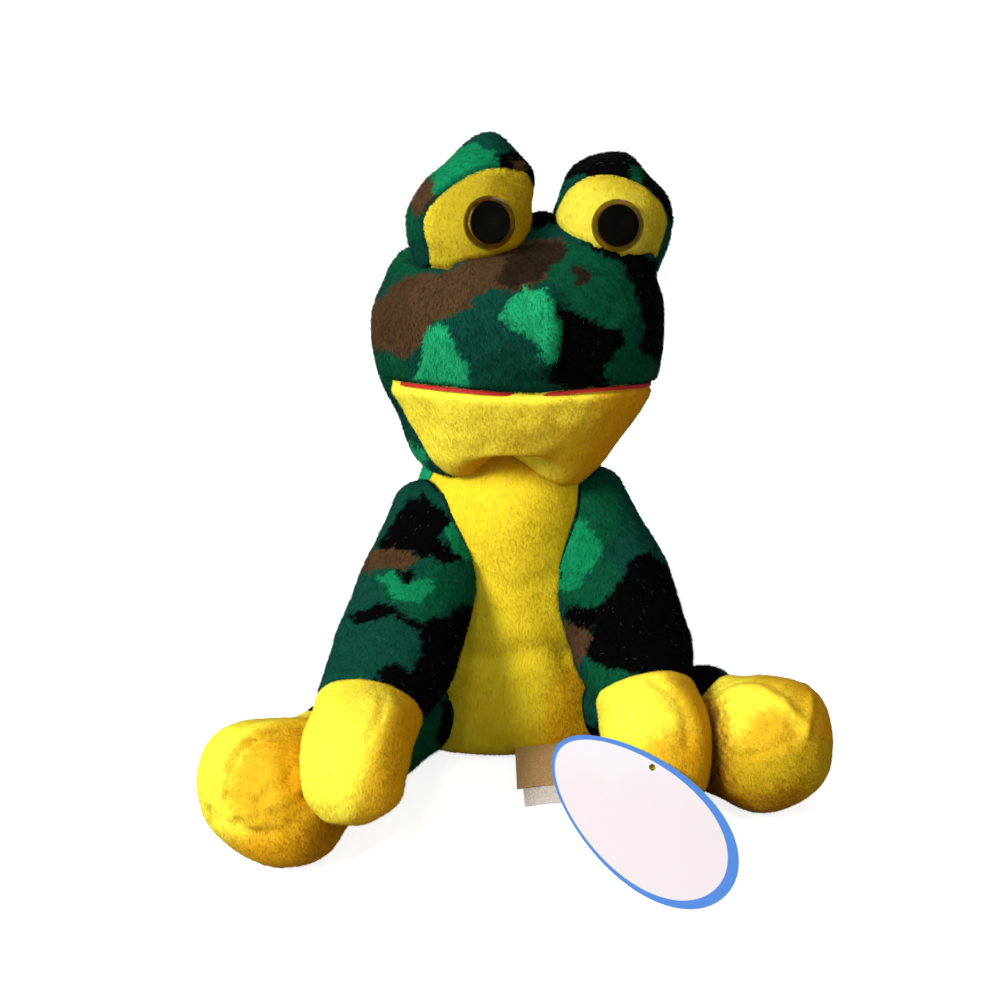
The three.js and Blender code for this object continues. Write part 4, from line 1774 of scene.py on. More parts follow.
    def build_lining(self, maker: Maker, skull: Form) -> None:
        """Builds the strip of felt between the lips.

        Args:
            maker: Adds the piece.
            skull: The head's whole form.
        """
        tree = skull.tree()
        matrix = self.pose.matrix()
        rows = []
        for angle in np.radians(np.linspace(*self.lining_ends, self.lining_rows)):
            across = self.half_width * math.cos(angle) - self.sag_x
            sag = self.lip_sag * math.exp(-((across / self.sag_width) ** 2))
            centre = Vector((0.0, self.lining_y, self.mouth_height + self.lining_rise - sag))
            heading = Vector((math.cos(angle), math.sin(angle), 0.0))
            start = matrix @ centre
            out = (matrix.to_3x3() @ heading).normalized()
            reach = (tree.ray_cast(start, out)[0] - start).length
            near = math.exp(-((across / self.lining_tuck_width) ** 2))
            tuck = self.lining_tuck + self.lining_tuck_middle * near
            rows.append([start + out * (reach - inset) for inset in (self.lining_depth, tuck)])
        up = matrix.to_3x3() @ Vector((0.0, 0.0, 1.0))
        half = up * self.lining_thickness / 2
        corners = np.array([[a - half, b - half, b + half, a + half] for a, b in rows])
        form = Form.lofted(corners[:, ::-1], corners[0].mean(axis=0), corners[-1].mean(axis=0))
        piece = linked("felt_mouth_lining", form.points, form.faces)
        maker.finished(piece, maker.finishes.felt, "head", ("mouth_lining",))


HEAD_NUDGES = (
    (545, 235, 0, -24, 9), (580, 250, 0, -13, 10), (615, 262, 0, -17, 10), (648, 272, 0, -24, 9),
    (500, 262, 0, -4, 9), (465, 270, 0, -7, 8), (400, 262, -3, -7, 7), (655, 262, 4, 0, 4),
    (436, 272, 0, -7, 7), (372, 330, -8, 0, 18), (668, 300, -9, 0, 16), (668, 350, -4, 0, 12),
    (424, 452, -10, 0, 13), (450, 464, -2, 2, 10), (580, 472, 3, 0, 10), (545, 480, 0, -6, 9),
)
HEAD_SEAMS = (
    (((408, 252), (428, 262), (446, 264)), 2.4, -2.4),
    (((547, 300), (550, 330), (546, 362)), 3.4, 2.2),
)
HEAD_SWELLS = (((430, 345), 14.0, 1.2), ((620, 335), 16.0, 1.0))


DOME_NUDGES = {
    "right": (
        (498, 148, 8, -9, 9), (526, 175, 9, -5, 8), (412, 215, -3, 2, 9), (440, 262, 2, -6, 7),
        (436, 152, 8, 9, 10), (485, 140, 0, -8, 8), (410, 190, 3, 4, 8),
    ),
    "left": (
        (600, 148, 0, 6, 9), (640, 160, 5, -3, 8), (670, 205, 4, 0, 8), (655, 262, -4, -8, 8),
        (548, 200, 9, 0, 9), (654, 162, -9, 7, 8),
    ),
}


@dataclass(frozen=True)
class EyeDome:
    """A raised eye: a camouflage hood, a yellow patch and a safety eye."""

    name: str
    side: int
    pose: HeadPose
    half_width: float = 19.5
    half_depth: float = 18.0
    half_height: float = 24.5
    spread: float = 22.0
    centre_y: float = -40.0
    centre_z: float = 90.0
    seam_tilt: float = 37.0
    seam_y: float = -41.0
    seam_z: float = 88.0
    splay: float = -7.0
    sink: float = 1.2
    lens_radius: float = 8.0
    lens_height: float = 5.6
    lid_slant: tuple[float, float] = (0.24, 0.3)
    corner_cut: float = 7.5
    lens_gap: float = 0.7
    lens_margin: float = 1.2
    behind_seat: float = -2.0
    brim_width: float = 7.0
    brim_height: float = 1.1
    foot_roll: tuple[float, float] = (2.0, 0.9)
    seam_roll: tuple[float, float] = (1.6, 0.8)
    sunk: float = 0.6
    sides: int = 120
    rings: int = 90
    corner_start: float = 1.0
    corner_width: float = 16.0
    corner_top: float = 6.0
    corner_height: float = 18.0
    seat_drop: float = 0.15
    inset: float = 0.6

    def form(self) -> Form:
        """Makes the dome in the toy's frame.

        Returns:
            The dome before it is shaped.
        """
        angles = around(self.sides)
        lifts = np.radians(np.linspace(-88.0, 88.0, self.rings))[:, None]
        x = self.side * self.spread + (self.half_width - self.inset) * np.cos(lifts) * np.cos(angles)
        y = self.centre_y + (self.half_depth - self.inset) * np.cos(lifts) * np.sin(angles)
        rise = (self.half_height - self.inset) * np.sin(lifts)
        z = np.repeat(self.centre_z + rise, self.sides, axis=1)
        grid = np.stack([x, y, z], axis=2)
        foot = self.centre_z - self.half_height + self.inset
        low = np.array([self.side * self.spread, self.centre_y, foot])
        high = low + (0.0, 0.0, 2.0 * (self.half_height - self.inset))
        form = Form.lofted(grid, low, high)
        form.move(self.pose.matrix())
        return form

    def eye_matrix(self) -> Matrix:
        """Works out the frame of the eye.

        Returns:
            The matrix from it, with its origin on the sunk seat and +Z out of the dome.
        """
        splay = self.side * math.radians(self.splay)
        outward = Vector((math.sin(splay), -math.cos(splay), 0.0))
        reach = math.hypot(outward.x * self.half_width, outward.y * self.half_depth)
        centre = Vector((self.side * self.spread, self.centre_y, self.centre_z))
        seat = centre + outward * (reach - self.sink)
        across = Vector((math.cos(splay), math.sin(splay), 0.0))
        turn = Matrix((across, outward.cross(across), outward)).transposed().to_4x4()
        return self.pose.matrix() @ Matrix.Translation(seat) @ turn

    def keep_clear(self, form: Form) -> None:
        """Moves the brow in front of the lens, or behind its seat, where it would enter it.

        Args:
            form: The head's form.
        """
        matrix = self.eye_matrix()
        own = carried(form.points, matrix.inverted())
        away = np.hypot(own[:, 0], own[:, 1])
        reach = np.minimum(away, self.lens_radius)
        ball = (self.lens_radius**2 + self.lens_height**2) / (2.0 * self.lens_height)
        top = np.sqrt(ball**2 - reach**2) - ball + self.lens_height + self.lens_gap
        near = away < self.lens_radius + self.lens_margin
        inside = near & (own[:, 2] < top) & (own[:, 2] > self.behind_seat)
        over = inside & (own[:, 2] > 0.45 * top)
        own[over, 2] = top[over]
        own[inside & ~over, 2] = self.behind_seat
        form.bare[inside & ~over] = 1.0
        form.points = carried(own, matrix)

    def seam_values(self, points: Points) -> Points:
        """Measures points against the seam between hood and patch.

        Args:
            points: Points in the toy's frame.

        Returns:
            Each one's distance from the seam, positive on the hood.
        """
        own = carried(points, self.pose.matrix().inverted())
        tilt = math.radians(self.seam_tilt)
        slant = -self.side * self.lid_slant[self.side < 0]
        front = unit(np.array([slant, -math.cos(tilt), -math.sin(tilt)]))
        away = own - np.array([self.side * self.spread, self.seam_y, self.seam_z])
        beside = smooth((self.side * away[:, 0] - self.corner_start) / self.corner_width)
        corner = beside * smooth((self.corner_top - away[:, 2]) / self.corner_height)
        return self.corner_cut * corner - away @ front

    def seat_eye(self, form: Form) -> None:
        """Raises the hood's brim and flattens the seat of the eye.

        Args:
            form: The dome.
        """
        matrix = self.eye_matrix()
        own = carried(form.points, matrix.inverted())
        radius = np.hypot(own[:, 0], own[:, 1])
        values = self.seam_values(form.points)
        brim = np.clip(1.0 - values / self.brim_width, 0.0, 1.0) * (values > 0.0)
        rise = self.brim_height * brim * smooth((values + 0.2) / 1.5)
        form.points += rise[:, None] * form.normals()
        own = carried(form.points, matrix.inverted())
        seat = (radius < self.lens_radius + 0.35) & (own[:, 2] > -self.seat_drop) & (own[:, 2] < 9.0)
        own[seat, 2] = -self.seat_drop
        form.points = carried(own, matrix)
        form.bare[seat] = 1.0

    def build(self, maker: Maker, skull: Form) -> None:
        """Builds the hood, the patch and the eye's finishes.

        Args:
            maker: Adds the pieces.
            skull: The head's form, which the dome stands on.
        """
        form = self.form()
        form.sculpt(DOME_NUDGES[self.name])
        form.ruffles((31 + self.side, 11.0, 0.6), (33, 4.5, 0.25))
        self.seat_eye(form)
        tree = skull.tree()
        depths = []
        for point in form.points:
            spot, normal, _, _ = tree.find_nearest(Vector(point))
            depths.append(float(np.dot(point - np.array(spot), normal)))
        depths = np.array(depths)
        form.pull_in(depths, *self.foot_roll)
        shown = form.split(depths + self.sunk)[1]
        values = self.seam_values(shown.points)
        shown.pull_in(values, *self.seam_roll)
        patch, hood = shown.split(values)
        name = self.name
        maker.cover(f"eye_hood_{name}", hood, Cloth.CAMOUFLAGE, "head", HOOD_PATCHES[name])
        maker.cover(f"eye_patch_{name}", patch, Cloth.YELLOW, "head", EYE_SHADE_PATCHES[name])
        for part in ("lens", "pupil", "washer"):
            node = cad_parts[f"eye_{part}_{name}"]
            dress(node, getattr(maker.finishes, part))
            node.data.shade_smooth()
            node.data.set_sharp_from_angle(angle=math.radians(35.0))


@dataclass(frozen=True)
class Limb:
    """A stuffed limb along a bent line, in one cloth up to its cuff and yellow past it."""

    kind: str
    end: str
    name: str
    stations: tuple[tuple[tuple[float, float, float], float, float], ...]
    across_hint: tuple[float, float, float]
    root_round: float
    tip_round: float
    cuff_share: float
    inset: float = 0.7
    underside: float = 1.0
    sides: int = 120
    step: float = 0.9
    cuff_reach: float = 45.0
    root_rows: int = 20
    tip_rows: int = 26

    def line(self) -> Spline:
        """Returns the limb's middle line."""
        return Spline([station[0] for station in self.stations])

    def form(self) -> Form:
        """Makes the limb.

        Returns:
            The limb before it is pressed and cut.
        """
        line = self.line()
        girth = Spline([(station[1], station[2], 0.0) for station in self.stations])
        rows: list[tuple[float, float]] = []
        for angle in np.radians(np.linspace(4.0, 88.0, self.root_rows)):
            back = (self.root_round - self.inset) * (1.0 - math.cos(angle))
            rows.append((self.inset + back, math.sin(angle)))
        middle = line.length - self.root_round - self.tip_round
        for distance in np.linspace(0.0, middle, int(middle / self.step))[1:-1]:
            rows.append((self.root_round + distance, 1.0))
        for angle in np.radians(np.linspace(88.0, 4.0, self.tip_rows)):
            back = (self.tip_round - self.inset) * (1.0 - math.cos(angle))
            rows.append((line.length - self.inset - back, math.sin(angle)))
        angles = around(self.sides)
        rings = []
        for distance, share in rows:
            heading = line.heading(distance)
            size = girth.at(line.share_at(distance))
            through = unit(np.cross(heading, np.array(self.across_hint)))
            across = np.cross(through, heading)
            wide = max((size[0] - self.inset) * share, 0.1)
            deep = max((size[1] - self.inset) * share, 0.1)
            flatter = np.where(np.sin(angles) * through[2] < 0.0, self.underside, 1.0)
            beside = np.outer(bowed(np.cos(angles), flatter), across * wide)
            ring = line.point(distance) + beside + np.outer(bowed(np.sin(angles), flatter), through * deep)
            rings.append(ring)
        grid = np.array(rings)
        return Form.lofted(grid, line.point(self.inset), line.point(line.length - self.inset))

    def cuff_values(self, points: Points) -> Points:
        """Measures points against the cuff's seam.

        Args:
            points: Points of the limb.

        Returns:
            Each one's distance past the seam, or a far one away from the cuff.
        """
        line = self.line()
        distance = line.length * self.cuff_share
        cuff = line.point(distance)
        values = (points - cuff) @ line.heading(distance)
        near = np.linalg.norm(points - cuff, axis=1) < self.cuff_reach
        return np.where(near, values, np.where(values > 0, FAR, -FAR))


ARM_GIRTHS = ((11.0, 10.5), (20.0, 13.5), (20.5, 13.5), (17.5, 14.0), (18.4, 16.5), (13.5, 13.5))
SHOULDER = (29.0, -7.0, 82.0)
ARM_PLACES = {
    "right": (
        (-5.0, -1.0, -8.0), (4.0, 25.0, 21.0), (11.5, 38.0, 32.0), (21.5, 56.0, 42.0), (26.5, 78.0, 45.0),
        (30.5, 91.0, 65.0),
    ),
    "left": (
        (-5.0, -1.0, -11.0), (4.0, 24.0, 25.0), (7.0, 37.0, 39.0), (9.0, 51.0, 48.0), (9.5, 68.0, 57.5),
        (7.5, 79.0, 79.5),
    ),
}
ARM_PATCHES = {
    "right": (
        Patch(Dye.BLACK, (
            (425, 490), (450, 519), (443, 530), (437, 537), (452, 548), (463, 559), (447, 564), (425, 558),
            (402, 552), (382, 546), (378, 548), (385, 530), (395, 514), (407, 500),
        )),
        Patch(Dye.LEAF, ((450, 519), (463, 535), (472, 557), (463, 560), (452, 546), (443, 532))),
        Patch(Dye.BROWN, (
            (369, 548), (393, 547), (420, 558), (414, 566), (398, 570), (382, 568), (362, 571),
        )),
        Patch(Dye.GREEN, (
            (375, 575), (398, 573), (402, 584), (420, 579), (425, 566), (470, 561), (482, 579), (480, 606),
            (456, 602), (438, 615), (420, 618), (402, 606), (380, 597),
        )),
        Patch(Dye.LEAF, (
            (375, 576), (396, 573), (402, 586), (418, 580), (430, 574), (432, 590), (418, 602),
            (392, 598),
        )),
        Patch(Dye.BLACK, ((398, 570), (414, 570), (414, 580), (407, 586), (400, 578))),
        Patch(Dye.BLACK, (
            (349, 618), (364, 609), (385, 602), (405, 613), (425, 620), (443, 618), (465, 602), (479, 611),
            (470, 634), (463, 656), (452, 683), (440, 712), (418, 717), (387, 694), (373, 678), (376, 672),
            (394, 660), (411, 674), (418, 656), (420, 638), (411, 624), (394, 613), (371, 620), (357, 624),
        )),
    ),
    "left": (
        Patch(Dye.LEAF, (
            (567, 516), (582, 520), (600, 541), (602, 561), (587, 576), (578, 590), (556, 590), (551, 570),
            (558, 545),
        )),
        Patch(Dye.GREEN, (
            (584, 478), (612, 484), (625, 510), (610, 545), (600, 540), (582, 520), (570, 512),
        )),
        Patch(Dye.GREEN, (
            (553, 590), (578, 588), (602, 562), (618, 560), (622, 578), (609, 594), (600, 606), (566, 606),
        )),
        Patch(Dye.BLACK, (
            (636, 557), (650, 552), (668, 566), (684, 606), (700, 642), (722, 668), (724, 690), (695, 678),
            (659, 678), (632, 674), (605, 669), (587, 656), (582, 642), (587, 633), (566, 620), (564, 604),
            (600, 606), (609, 593), (623, 575),
        )),
        Patch(Dye.BROWN, ((560, 620), (582, 629), (589, 638), (582, 656), (578, 667), (565, 638))),
        Patch(Dye.BROWN, ((580, 676), (590, 700), (587, 714), (578, 700))),
        Patch(Dye.GREEN, (
            (586, 660), (606, 668), (634, 674), (640, 680), (612, 694), (592, 706), (588, 690),
        )),
    ),
}

LEG_HALF_WIDTH = 18.0
LEG_HALF_HEIGHT = 15.5
FOOT_HALF_WIDTH = 23.5
FOOT_HALF_HEIGHT = 21.0
FLOOR_TRIM = 0.5
HIP = (23.0, -11.0)
ANKLE_SHARE = 0.66
ANKLE_LEADS = {"right": 1.0, "left": 8.0}
LEG_REACHES = {"right": (86.0, 42.5), "left": (79.0, 41.5)}
LEG_PATCHES = {
    "right": (
        Patch(Dye.GREEN, (
            (420, 726), (439, 718), (442, 748), (428, 772), (415, 778), (404, 786), (405, 753),
        )),
        Patch(Dye.BLACK, ((440, 700), (452, 700), (456, 762), (444, 762), (440, 740))),
        Patch(Dye.BLACK, ((404, 784), (398, 802), (388, 816), (366, 816), (378, 795), (395, 780))),
        Patch(Dye.BLACK, ((296, 690), (322, 690), (322, 722), (296, 722))),
    ),
    "left": (
        Patch(Dye.BLACK, ((680, 630), (716, 650), (736, 700), (680, 700))),
        Patch(Dye.BLACK, ((575, 720), (604, 730), (608, 768), (575, 765))),
    ),
}
# Painted shade and painted shadow on the yellow feet, deepest at the bottom and where the hands overhang
# them.
FOOT_SHADE_PATCHES = {
    "right": (
        Patch(Dye.GOLD_SHADE, (
            (225, 800), (230, 770), (244, 744), (266, 731), (310, 728), (312, 790), (298, 818), (272, 832),
            (244, 826), (230, 815),
        )),
        Patch(Dye.GOLD_SHADE, (
            (216, 838), (300, 816), (345, 790), (380, 800), (345, 860), (280, 885), (226, 872),
        )),
        Patch(Dye.GOLD_SHADE, ((268, 732), (310, 728), (312, 810), (290, 826), (276, 780))),
        Patch(Dye.GOLD_SHADE, ((232, 846), (330, 822), (345, 800), (372, 806), (345, 860), (280, 880))),
        Patch(Dye.AMBER_SHADE, ((304, 826), (350, 796), (372, 806), (345, 850), (300, 872))),
    ),
    "left": (
        Patch(Dye.GOLD_SHADE, (
            (690, 690), (722, 704), (730, 738), (760, 752), (800, 742), (836, 744), (800, 815),
            (690, 815),
        )),
        Patch(Dye.GOLD_SHADE, ((755, 712), (786, 706), (808, 730), (800, 746), (752, 758), (740, 740))),
        Patch(Dye.GOLD_SHADE, (
            (740, 668), (822, 668), (846, 740), (826, 780), (812, 728), (782, 694), (752, 682),
        )),
        Patch(Dye.AMBER_SHADE, ((690, 676), (718, 692), (730, 750), (745, 815), (690, 815))),
        Patch(Dye.UMBER, ((704, 700), (719, 706), (726, 750), (724, 790), (704, 790))),
        Patch(Dye.OCHRE_SHADE, ((728, 740), (760, 756), (800, 746), (840, 744), (826, 790), (740, 800))),
        Patch(Dye.AMBER_SHADE, ((700, 788), (760, 792), (812, 776), (800, 815), (700, 815))),
    ),
}
# Painted shade on the shaded sides and seam grooves of the yellow hands.
HAND_SHADE_PATCHES = {
    "right": (Patch(Dye.GOLD_SHADE, ((384, 712), (420, 715), (416, 760), (390, 815), (350, 830), (368, 770))),),
    "left": (
        Patch(Dye.GOLD_SHADE, ((660, 668), (722, 680), (722, 790), (686, 800), (684, 730))),
        Patch(Dye.GOLD_SHADE, ((640, 740), (690, 730), (720, 760), (700, 800), (660, 790))),
    ),
}
FOOT_NUDGES = {
    "right": (
        (228, 738, -7, -6, 13), (270, 858, 0, 5, 14), (330, 835, 4, 6, 14), (312, 712, 0, -8, 7),
    ),
    "left": ((706, 672, 5, -13, 9), (840, 740, -8, 0, 14), (706, 800, -3, 4, 12)),
}
FOOT_SEAMS = {
    "right": (
        (((211, 800), (215, 778), (224, 756), (240, 738), (260, 728), (284, 724), (306, 724)), 3.2, 1.6),
        (((226, 806), (229, 780), (238, 758), (252, 744), (270, 735), (306, 731)), 1.9, -1.4),
        (((214, 776), (211, 796), (210, 822), (216, 842)), 1.1, -0.9),
        (((308, 796), (299, 814), (282, 828), (258, 834), (236, 826)), 3.0, -0.9),
    ),
    "left": (
        (((728, 693), (742, 688), (756, 688), (772, 696), (790, 711), (805, 730)), 2.4, 1.1),
        (((809, 684), (810, 700), (810, 714), (806, 730)), 1.7, 1.0, 0.4),
        (((744, 757), (762, 753), (780, 746), (794, 738), (805, 729)), 1.8, -0.8),
    ),
}
SOLES = {"right": ((262, 785), 64, 3.2, 0.9, 18.0), "left": ((770, 725), 65, 3.0, 0.5, 15.0)}
LEFT_TOE = (808, 684)
LEFT_TOE_SWELL = (4.0, 3.0)
HAND_NUDGES = {
    "right": (
        (418, 765, -5, 0, 14), (412, 796, -20, -8, 12), (395, 822, -10, -12, 11), (350, 830, -5, -9, 12),
        (306, 795, -3, 0, 10),
    ),
    "left": (),
}
HAND_SEAMS = {
    "right": (
        (((383, 698), (380, 716), (368, 742)), 1.7, -0.5),
        (((390, 700), (386, 722), (376, 748), (358, 780)), 5.0, 0.5),
    ),
    "left": (
        (((654, 682), (668, 692), (680, 706), (686, 722), (688, 744)), 1.8, -0.7),
        (((662, 680), (680, 694), (694, 716), (700, 745), (702, 780)), 4.5, 0.7),
    ),
}
# Arm and leg patches are print; hand and foot patches are painted shade.
LIMB_PATCHES = {"arm": ARM_PATCHES, "hand": HAND_SHADE_PATCHES, "leg": LEG_PATCHES, "foot": FOOT_SHADE_PATCHES}
def arm_of(name: str, side: int) -> Limb:
    """Plans the arm of one side.

    Args:
        name: The side.
        side: Its sign along x.

    Returns:
        The arm.
    """
    shoulder = np.array([side * SHOULDER[0], SHOULDER[1], SHOULDER[2]])
    stations = tuple(
        (tuple(shoulder + np.array([side * out, -ahead, -down])), *girth)
        for (out, ahead, down), girth in zip(ARM_PLACES[name], ARM_GIRTHS)
    )
    return Limb("arm", "hand", name, stations, (1.0, 0.0, 0.0), 9.0, 15.0, 0.64)


def leg_of(name: str, side: int) -> Limb:
    """Plans the leg of one side, which lies on the floor.

    Args:
        name: The side.
        side: Its sign along x.

    Returns:
        The leg.
    """
    reach, splay = LEG_REACHES[name]
    angle = math.radians(splay)
    heading = np.array([side * math.sin(angle), -math.cos(angle), 0.0])
    hip = np.array([side * HIP[0], HIP[1], 0.0])
    tip = reach + FOOT_HALF_WIDTH
    rows = (
        (0.0, LEG_HALF_WIDTH, LEG_HALF_HEIGHT),
        (reach * ANKLE_SHARE / 2.0, LEG_HALF_WIDTH, LEG_HALF_HEIGHT),
        (reach * ANKLE_SHARE, LEG_HALF_WIDTH, LEG_HALF_HEIGHT),
        (reach, FOOT_HALF_WIDTH, FOOT_HALF_HEIGHT),
        (tip, FOOT_HALF_WIDTH, FOOT_HALF_HEIGHT),
    )
    stations = tuple(
        (tuple(hip + heading * along + UP * (high - FLOOR_TRIM)), wide, high) for along, wide, high in rows
    )
    hint = tuple(np.cross(heading, UP))
    cuff = (ANKLE_SHARE * reach + ANKLE_LEADS[name]) / tip
    return Limb("leg", "foot", name, stations, hint, 11.0, 21.0, cuff, underside=0.74)


class Limbs:
    """The arms and legs, pressed against the torso, the floor and each other."""

    clearance = 0.3
    sewn_in = 0.8
    bend_start = 2.0
    bend_length = 26.0
    cuff_roll = (2.4, 1.1)
    sole_fade = 6.0

    def build(self, maker: Maker, torso: Torso) -> None:
        """Builds the four limbs.

        Args:
            maker: Adds the pieces.
            torso: The torso that they are sewn to.
        """
        legs = {}
        for name, side in SIDES.items():
            limb = leg_of(name, side)
            form = limb.form()
            form.ruffles((61 + side, 15.0, 0.7), (63, 5.5, 0.25))
            self.shape_foot(form, name)
            outside = torso.press(form, self.clearance)
            legs[name] = form
            self.finish(maker, limb, form, outside)
        for name, side in SIDES.items():
            limb = arm_of(name, side)
            form = limb.form()
            form.ruffles((71 + side, 14.0, 0.8), (73, 5.5, 0.3))
            form.sculpt(HAND_NUDGES[name], HAND_SEAMS[name])
            outside = torso.press(form, self.clearance)
            form.press_out(legs[name], self.clearance)
            self.finish(maker, limb, form, outside)

    def shape_foot(self, form: Form, name: str) -> None:
        """Gives a foot its sole seam and folds.

        Args:
            form: The leg's form.
            name: The side.
        """
        form.sculpt(FOOT_NUDGES[name], FOOT_SEAMS[name])
        if name == "left":
            form.swell(PHOTO.on_form(form, *LEFT_TOE), *LEFT_TOE_SWELL)
        pixel, seed, size, amount, radius = SOLES[name]
        reach = np.linalg.norm(form.points - PHOTO.on_form(form, *pixel), axis=1)
        form.ruffle(seed, size, amount * smooth((radius - reach) / self.sole_fade))

    def finish(self, maker: Maker, limb: Limb, form: Form, outside: Points) -> None:
        """Opens a limb at the torso, cuts it at its cuff and builds both covers.

        Args:
            maker: Adds the pieces.
            limb: The limb's plan.
            form: Its form, which rests on the floor from here on.
            outside: How far outside the torso each of its points lay.
        """
        form.rest_on_floor()
        opened = form.split(outside + self.sewn_in)[1]
        values = limb.cuff_values(opened.points)
        opened.pull_in(values, *self.cuff_roll)
        sleeve, mitten = opened.split(values)
        name = limb.name
        body = f"{limb.kind}_{name}"
        # The hand and foot patches paint shade on the yellow covers.
        patches, end_shade_patches = (LIMB_PATCHES[part][name] for part in (limb.kind, limb.end))
        node, inside = f"{limb.kind}_cover_{name}", f"{limb.kind}_stuffing_{name}"
        piece = maker.cover(node, sleeve, Cloth.CAMOUFLAGE, "", patches, (inside,))
        line = limb.line()
        start = line.point(self.bend_start) * MM
        end = line.point(self.bend_start + self.bend_length) * MM
        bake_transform(piece)
        maker.cover(f"{limb.end}_cover_{name}", mitten, Cloth.YELLOW, body, end_shade_patches)


@dataclass(frozen=True)
class CareLabel:
    """A bare ribbon label that is sewn into the seam at the front of the seat."""

    name: str
    slot: str
    width: float
    centre_x: float
    root_height: float
    reach: float
    tip_height: float
    curl: float
    skew: float = 5.0
    root_y: float = -32.0
    thickness: float = 0.3
    front_reach: float = 34.6
    arch: float = 1.6
    ripple: float = 0.25
    rows: int = 36
    columns: int = 26

    def build(self, maker: Maker, finish: bpy.types.Material, torso: Torso) -> None:
        """Builds the label.

        Args:
            maker: Adds the piece.
            finish: Its ribbon.
            torso: The torso that it comes out of.
        """
        rows, columns = self.rows, self.columns
        start = self.front_reach - torso.centre_y
        length = self.reach - self.root_y - start
        grid = np.zeros((rows, columns, 3))
        for row, along in enumerate(np.linspace(0.0, 1.0, rows)):
            y = -start - length * along
            for column, across in enumerate(np.linspace(-1.0, 1.0, columns)):
                rise = self.root_height * (1.0 - along) + self.tip_height * along
                arch = self.arch * math.sin(math.pi * along)
                corner = self.curl * along**3 * (0.5 + 0.5 * across) ** 2
                ripple = self.ripple * math.sin(5.0 * across + 3.0 * along) * along
                x = self.centre_x + (across * self.width + self.skew * (1.0 - along)) / 2.0
                grid[row, column] = (x, y, rise + arch + corner + ripple)
        top = grid.reshape(-1, 3)
        under = top - (0.0, 0.0, self.thickness)
        faces = []
        count = rows * columns
        for row in range(rows - 1):
            for column in range(columns - 1):
                a = row * columns + column
                face = (a, a + columns, a + columns + 1, a + 1)
                faces.append(face)
                faces.append(tuple(corner + count for corner in reversed(face)))
        rim = [row * columns for row in range(rows)]
        rim += [(rows - 1) * columns + column for column in range(1, columns)]
        rim += [row * columns + columns - 1 for row in range(rows - 2, -1, -1)]
        rim += list(range(columns - 2, 0, -1))
        for a, b in zip(rim, rim[1:] + rim[:1]):
            faces.append((b, a, a + count, b + count))
        piece = linked(f"ribbon_{self.name}", np.concatenate([top, under]), faces)
        piece.data.shade_smooth()
        maker.finished(piece, finish, "torso", (self.name,))
        flat = (self.width * MM, length * MM)


@dataclass(frozen=True)
class NeckPad:
    """The cap of firm stuffing between the torso and the head."""

    centre: tuple[float, float, float] = NECK_CENTRE
    outer: float = 27.8
    inner: float = 23.4
    start: float = 20.0
    sides: int = 72
    top_lift: float = math.radians(88.0)

    def build(self, maker: Maker) -> None:
        """Builds the pad.

        Args:
            maker: Adds the piece.
        """
        angles = around(self.sides)
        low, high = math.asin(self.start / self.outer), math.asin(self.start / self.inner)
        rows = [(self.inner, lift) for lift in np.linspace(self.top_lift, high, 10)]
        rows += [(self.outer, lift) for lift in np.linspace(low, self.top_lift, 14)]
        centre = np.array(self.centre)
        rings = []
        for radius, lift in rows:
            flat, height = radius * math.cos(lift), radius * math.sin(lift)
            rings.append([(flat * math.cos(angle), flat * math.sin(angle), height) for angle in angles])
        form = Form.lofted(np.array(rings) + centre, centre + UP * self.inner, centre + UP * self.outer)
        piece = linked("fibre_neck_pad", form.points, form.faces)
        maker.finished(piece, maker.finishes.fibre, "neck", ("neck_stuffing_pad",))


class SwingTag:
    """The egg-shaped card, which keeps its own solid and gets its print."""

    def build(self) -> None:
        """Dresses the card."""
        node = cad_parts["swing_tag"]
        finish = TagFinish("tag_print", linear("dfe0ea"), linear("4a80ce"), linear("dfcac6"))
        places = np.array([vertex.co[:] for vertex in node.data.vertices])
        axes = finish.axes()
        spans = [places @ axis for axis in axes]
        middle = sum((span.max() + span.min()) / 2.0 * axis for span, axis in zip(spans, axes))
        dress(node, finish.build(middle))


@dataclass(frozen=True)
class Lamp:
    """A soft square lamp that looks at the toy."""

    name: str
    place: tuple[float, float, float]
    size: float
    power: float
    colour: tuple[float, float, float] = (1.0, 1.0, 1.0)
    target: tuple[float, float, float] = (0.0, -0.03, 0.09)

    def build(self) -> None:
        """Adds the lamp."""
        data = bpy.data.lights.new(self.name, "AREA")
        data.size = self.size
        data.energy = self.power
        data.color = self.colour
        lamp = bpy.data.objects.new(self.name, data)
        lamp.location = self.place
        sight = Vector(self.target) - Vector(self.place)
        lamp.rotation_euler = sight.to_track_quat("-Z", "Y").to_euler()
        bpy.context.scene.collection.objects.link(lamp)


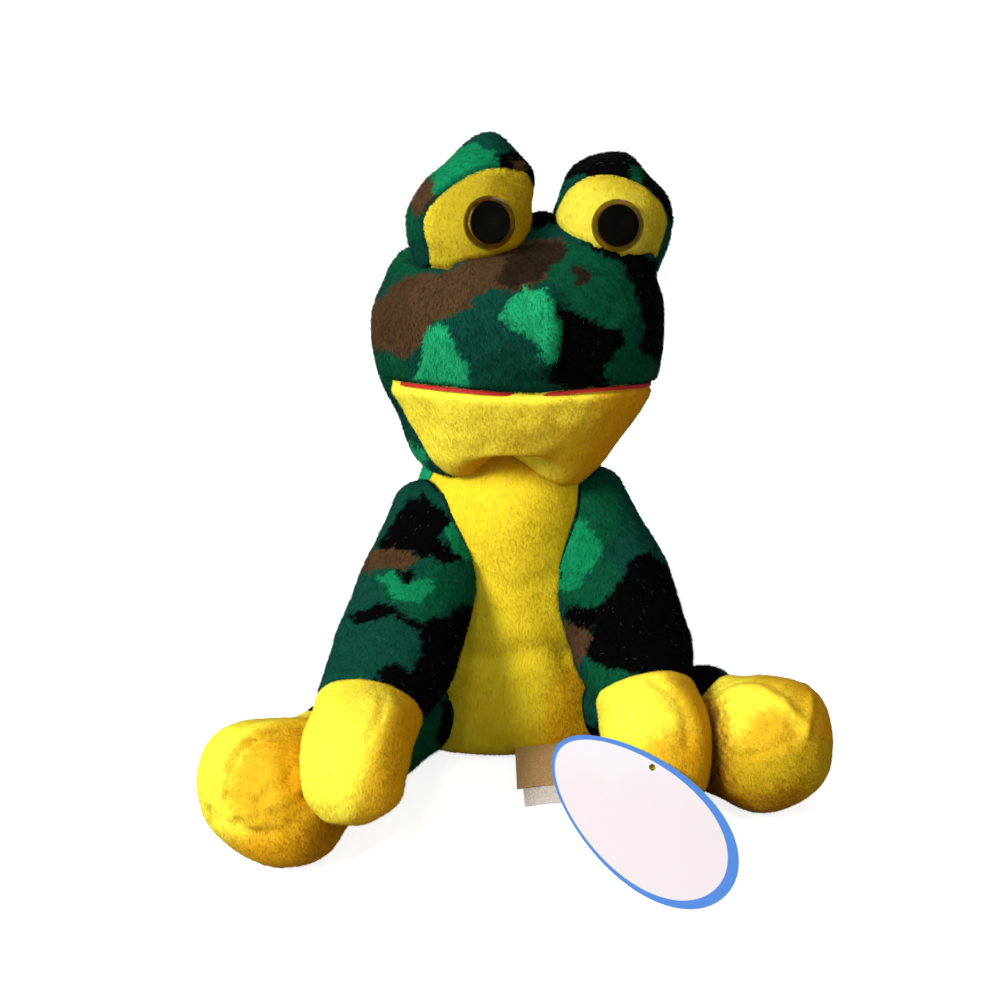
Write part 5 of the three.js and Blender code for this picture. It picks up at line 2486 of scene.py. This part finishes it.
class Studio:
    """The white floor, the world and the lamps."""

    floor_half = 4000.0
    floor_depth = 0.3
    floor_grey = 0.3
    floor_lift = 0.5
    floor_grain = 0.02
    floor_glow = 0.82
    world_light = 0.26
    white = (1.0, 1.0, 1.0, 1.0)
    lamps = (
        Lamp("key_lamp", (-1.05, -0.75, 0.95), 0.42, 29.0, (1.0, 0.985, 0.96)),
        Lamp("fill_lamp", (0.7, -1.2, 0.6), 0.9, 2.6),
        Lamp("back_lamp", (0.4, 1.0, 0.9), 0.8, 3.0),
        Lamp("catch_lamp", (-0.28, -0.83, 1.28), 0.14, 2.6),
    )

    def build(self) -> None:
        """Builds the studio."""
        half = self.floor_half
        ends = ((-half, -half), (half, -half), (half, half), (-half, half))
        corners = np.array([(x, y, -self.floor_depth) for x, y in ends])
        floor = linked("studio_floor", corners, [(0, 1, 2, 3)])
        dress(floor, self.floor_finish())
        for lamp in self.lamps:
            lamp.build()
        self.light_world()
        bpy.context.scene.view_settings.view_transform = "Standard"

    def floor_finish(self) -> bpy.types.Material:
        """Makes white paper that the camera sees almost evenly lit.

        Returns:
            The material.
        """
        graph = Graph(bpy.data.materials.new("white_paper"))
        seen = graph.node("ShaderNodeLightPath", out="Is Camera Ray")
        level = self.floor_grey + self.floor_lift * seen + self.floor_grain * graph.noise(40.0, 1.0)
        values = {
            "Base Color": graph.grey(level),
            "Roughness": 0.9,
            "Specular IOR Level": 0.1,
            "Emission Color": graph.grey(self.floor_glow * seen),
            "Emission Strength": 1.0,
        }
        return graph.principled(values)

    def light_world(self) -> None:
        """Sets an even pale world that shows as white."""
        world = bpy.data.worlds.new("studio_world")
        bpy.context.scene.world = world
        graph = Graph(world)
        dim, white = (
            graph.node("ShaderNodeBackground", values={"Color": self.white, "Strength": strength})
            for strength in (self.world_light, 1.0)
        )
        seen = graph.node("ShaderNodeLightPath", out="Is Camera Ray")
        mix = graph.node("ShaderNodeMixShader", values={0: seen, 1: dim, 2: white})
        graph.node("ShaderNodeOutputWorld", values={"Surface": mix})


def main() -> None:
    """Builds the camera, the studio and the toy."""
    logging.basicConfig(level=logging.INFO, format="%(name)s %(message)s")
    PHOTO.build()
    Studio().build()
    maker = Maker(Finishes.made())
    torso = Torso()
    torso.build(maker)
    NeckPad().build(maker)
    Head().build(maker)
    Limbs().build(maker, torso)
    finishes = maker.finishes
    beige = CareLabel("care_label_beige", "beige_satin", 19.0, 5.5, 5.0, 28.0, 2.8, 0.6)
    beige.build(maker, finishes.beige, torso)
    white = CareLabel("care_label_white", "white_satin", 20.0, 7.5, 3.0, 35.0, 0.7, 0.5)
    white.build(maker, finishes.white, torso)
    SwingTag().build()


if __name__ == "__main__":
    main()
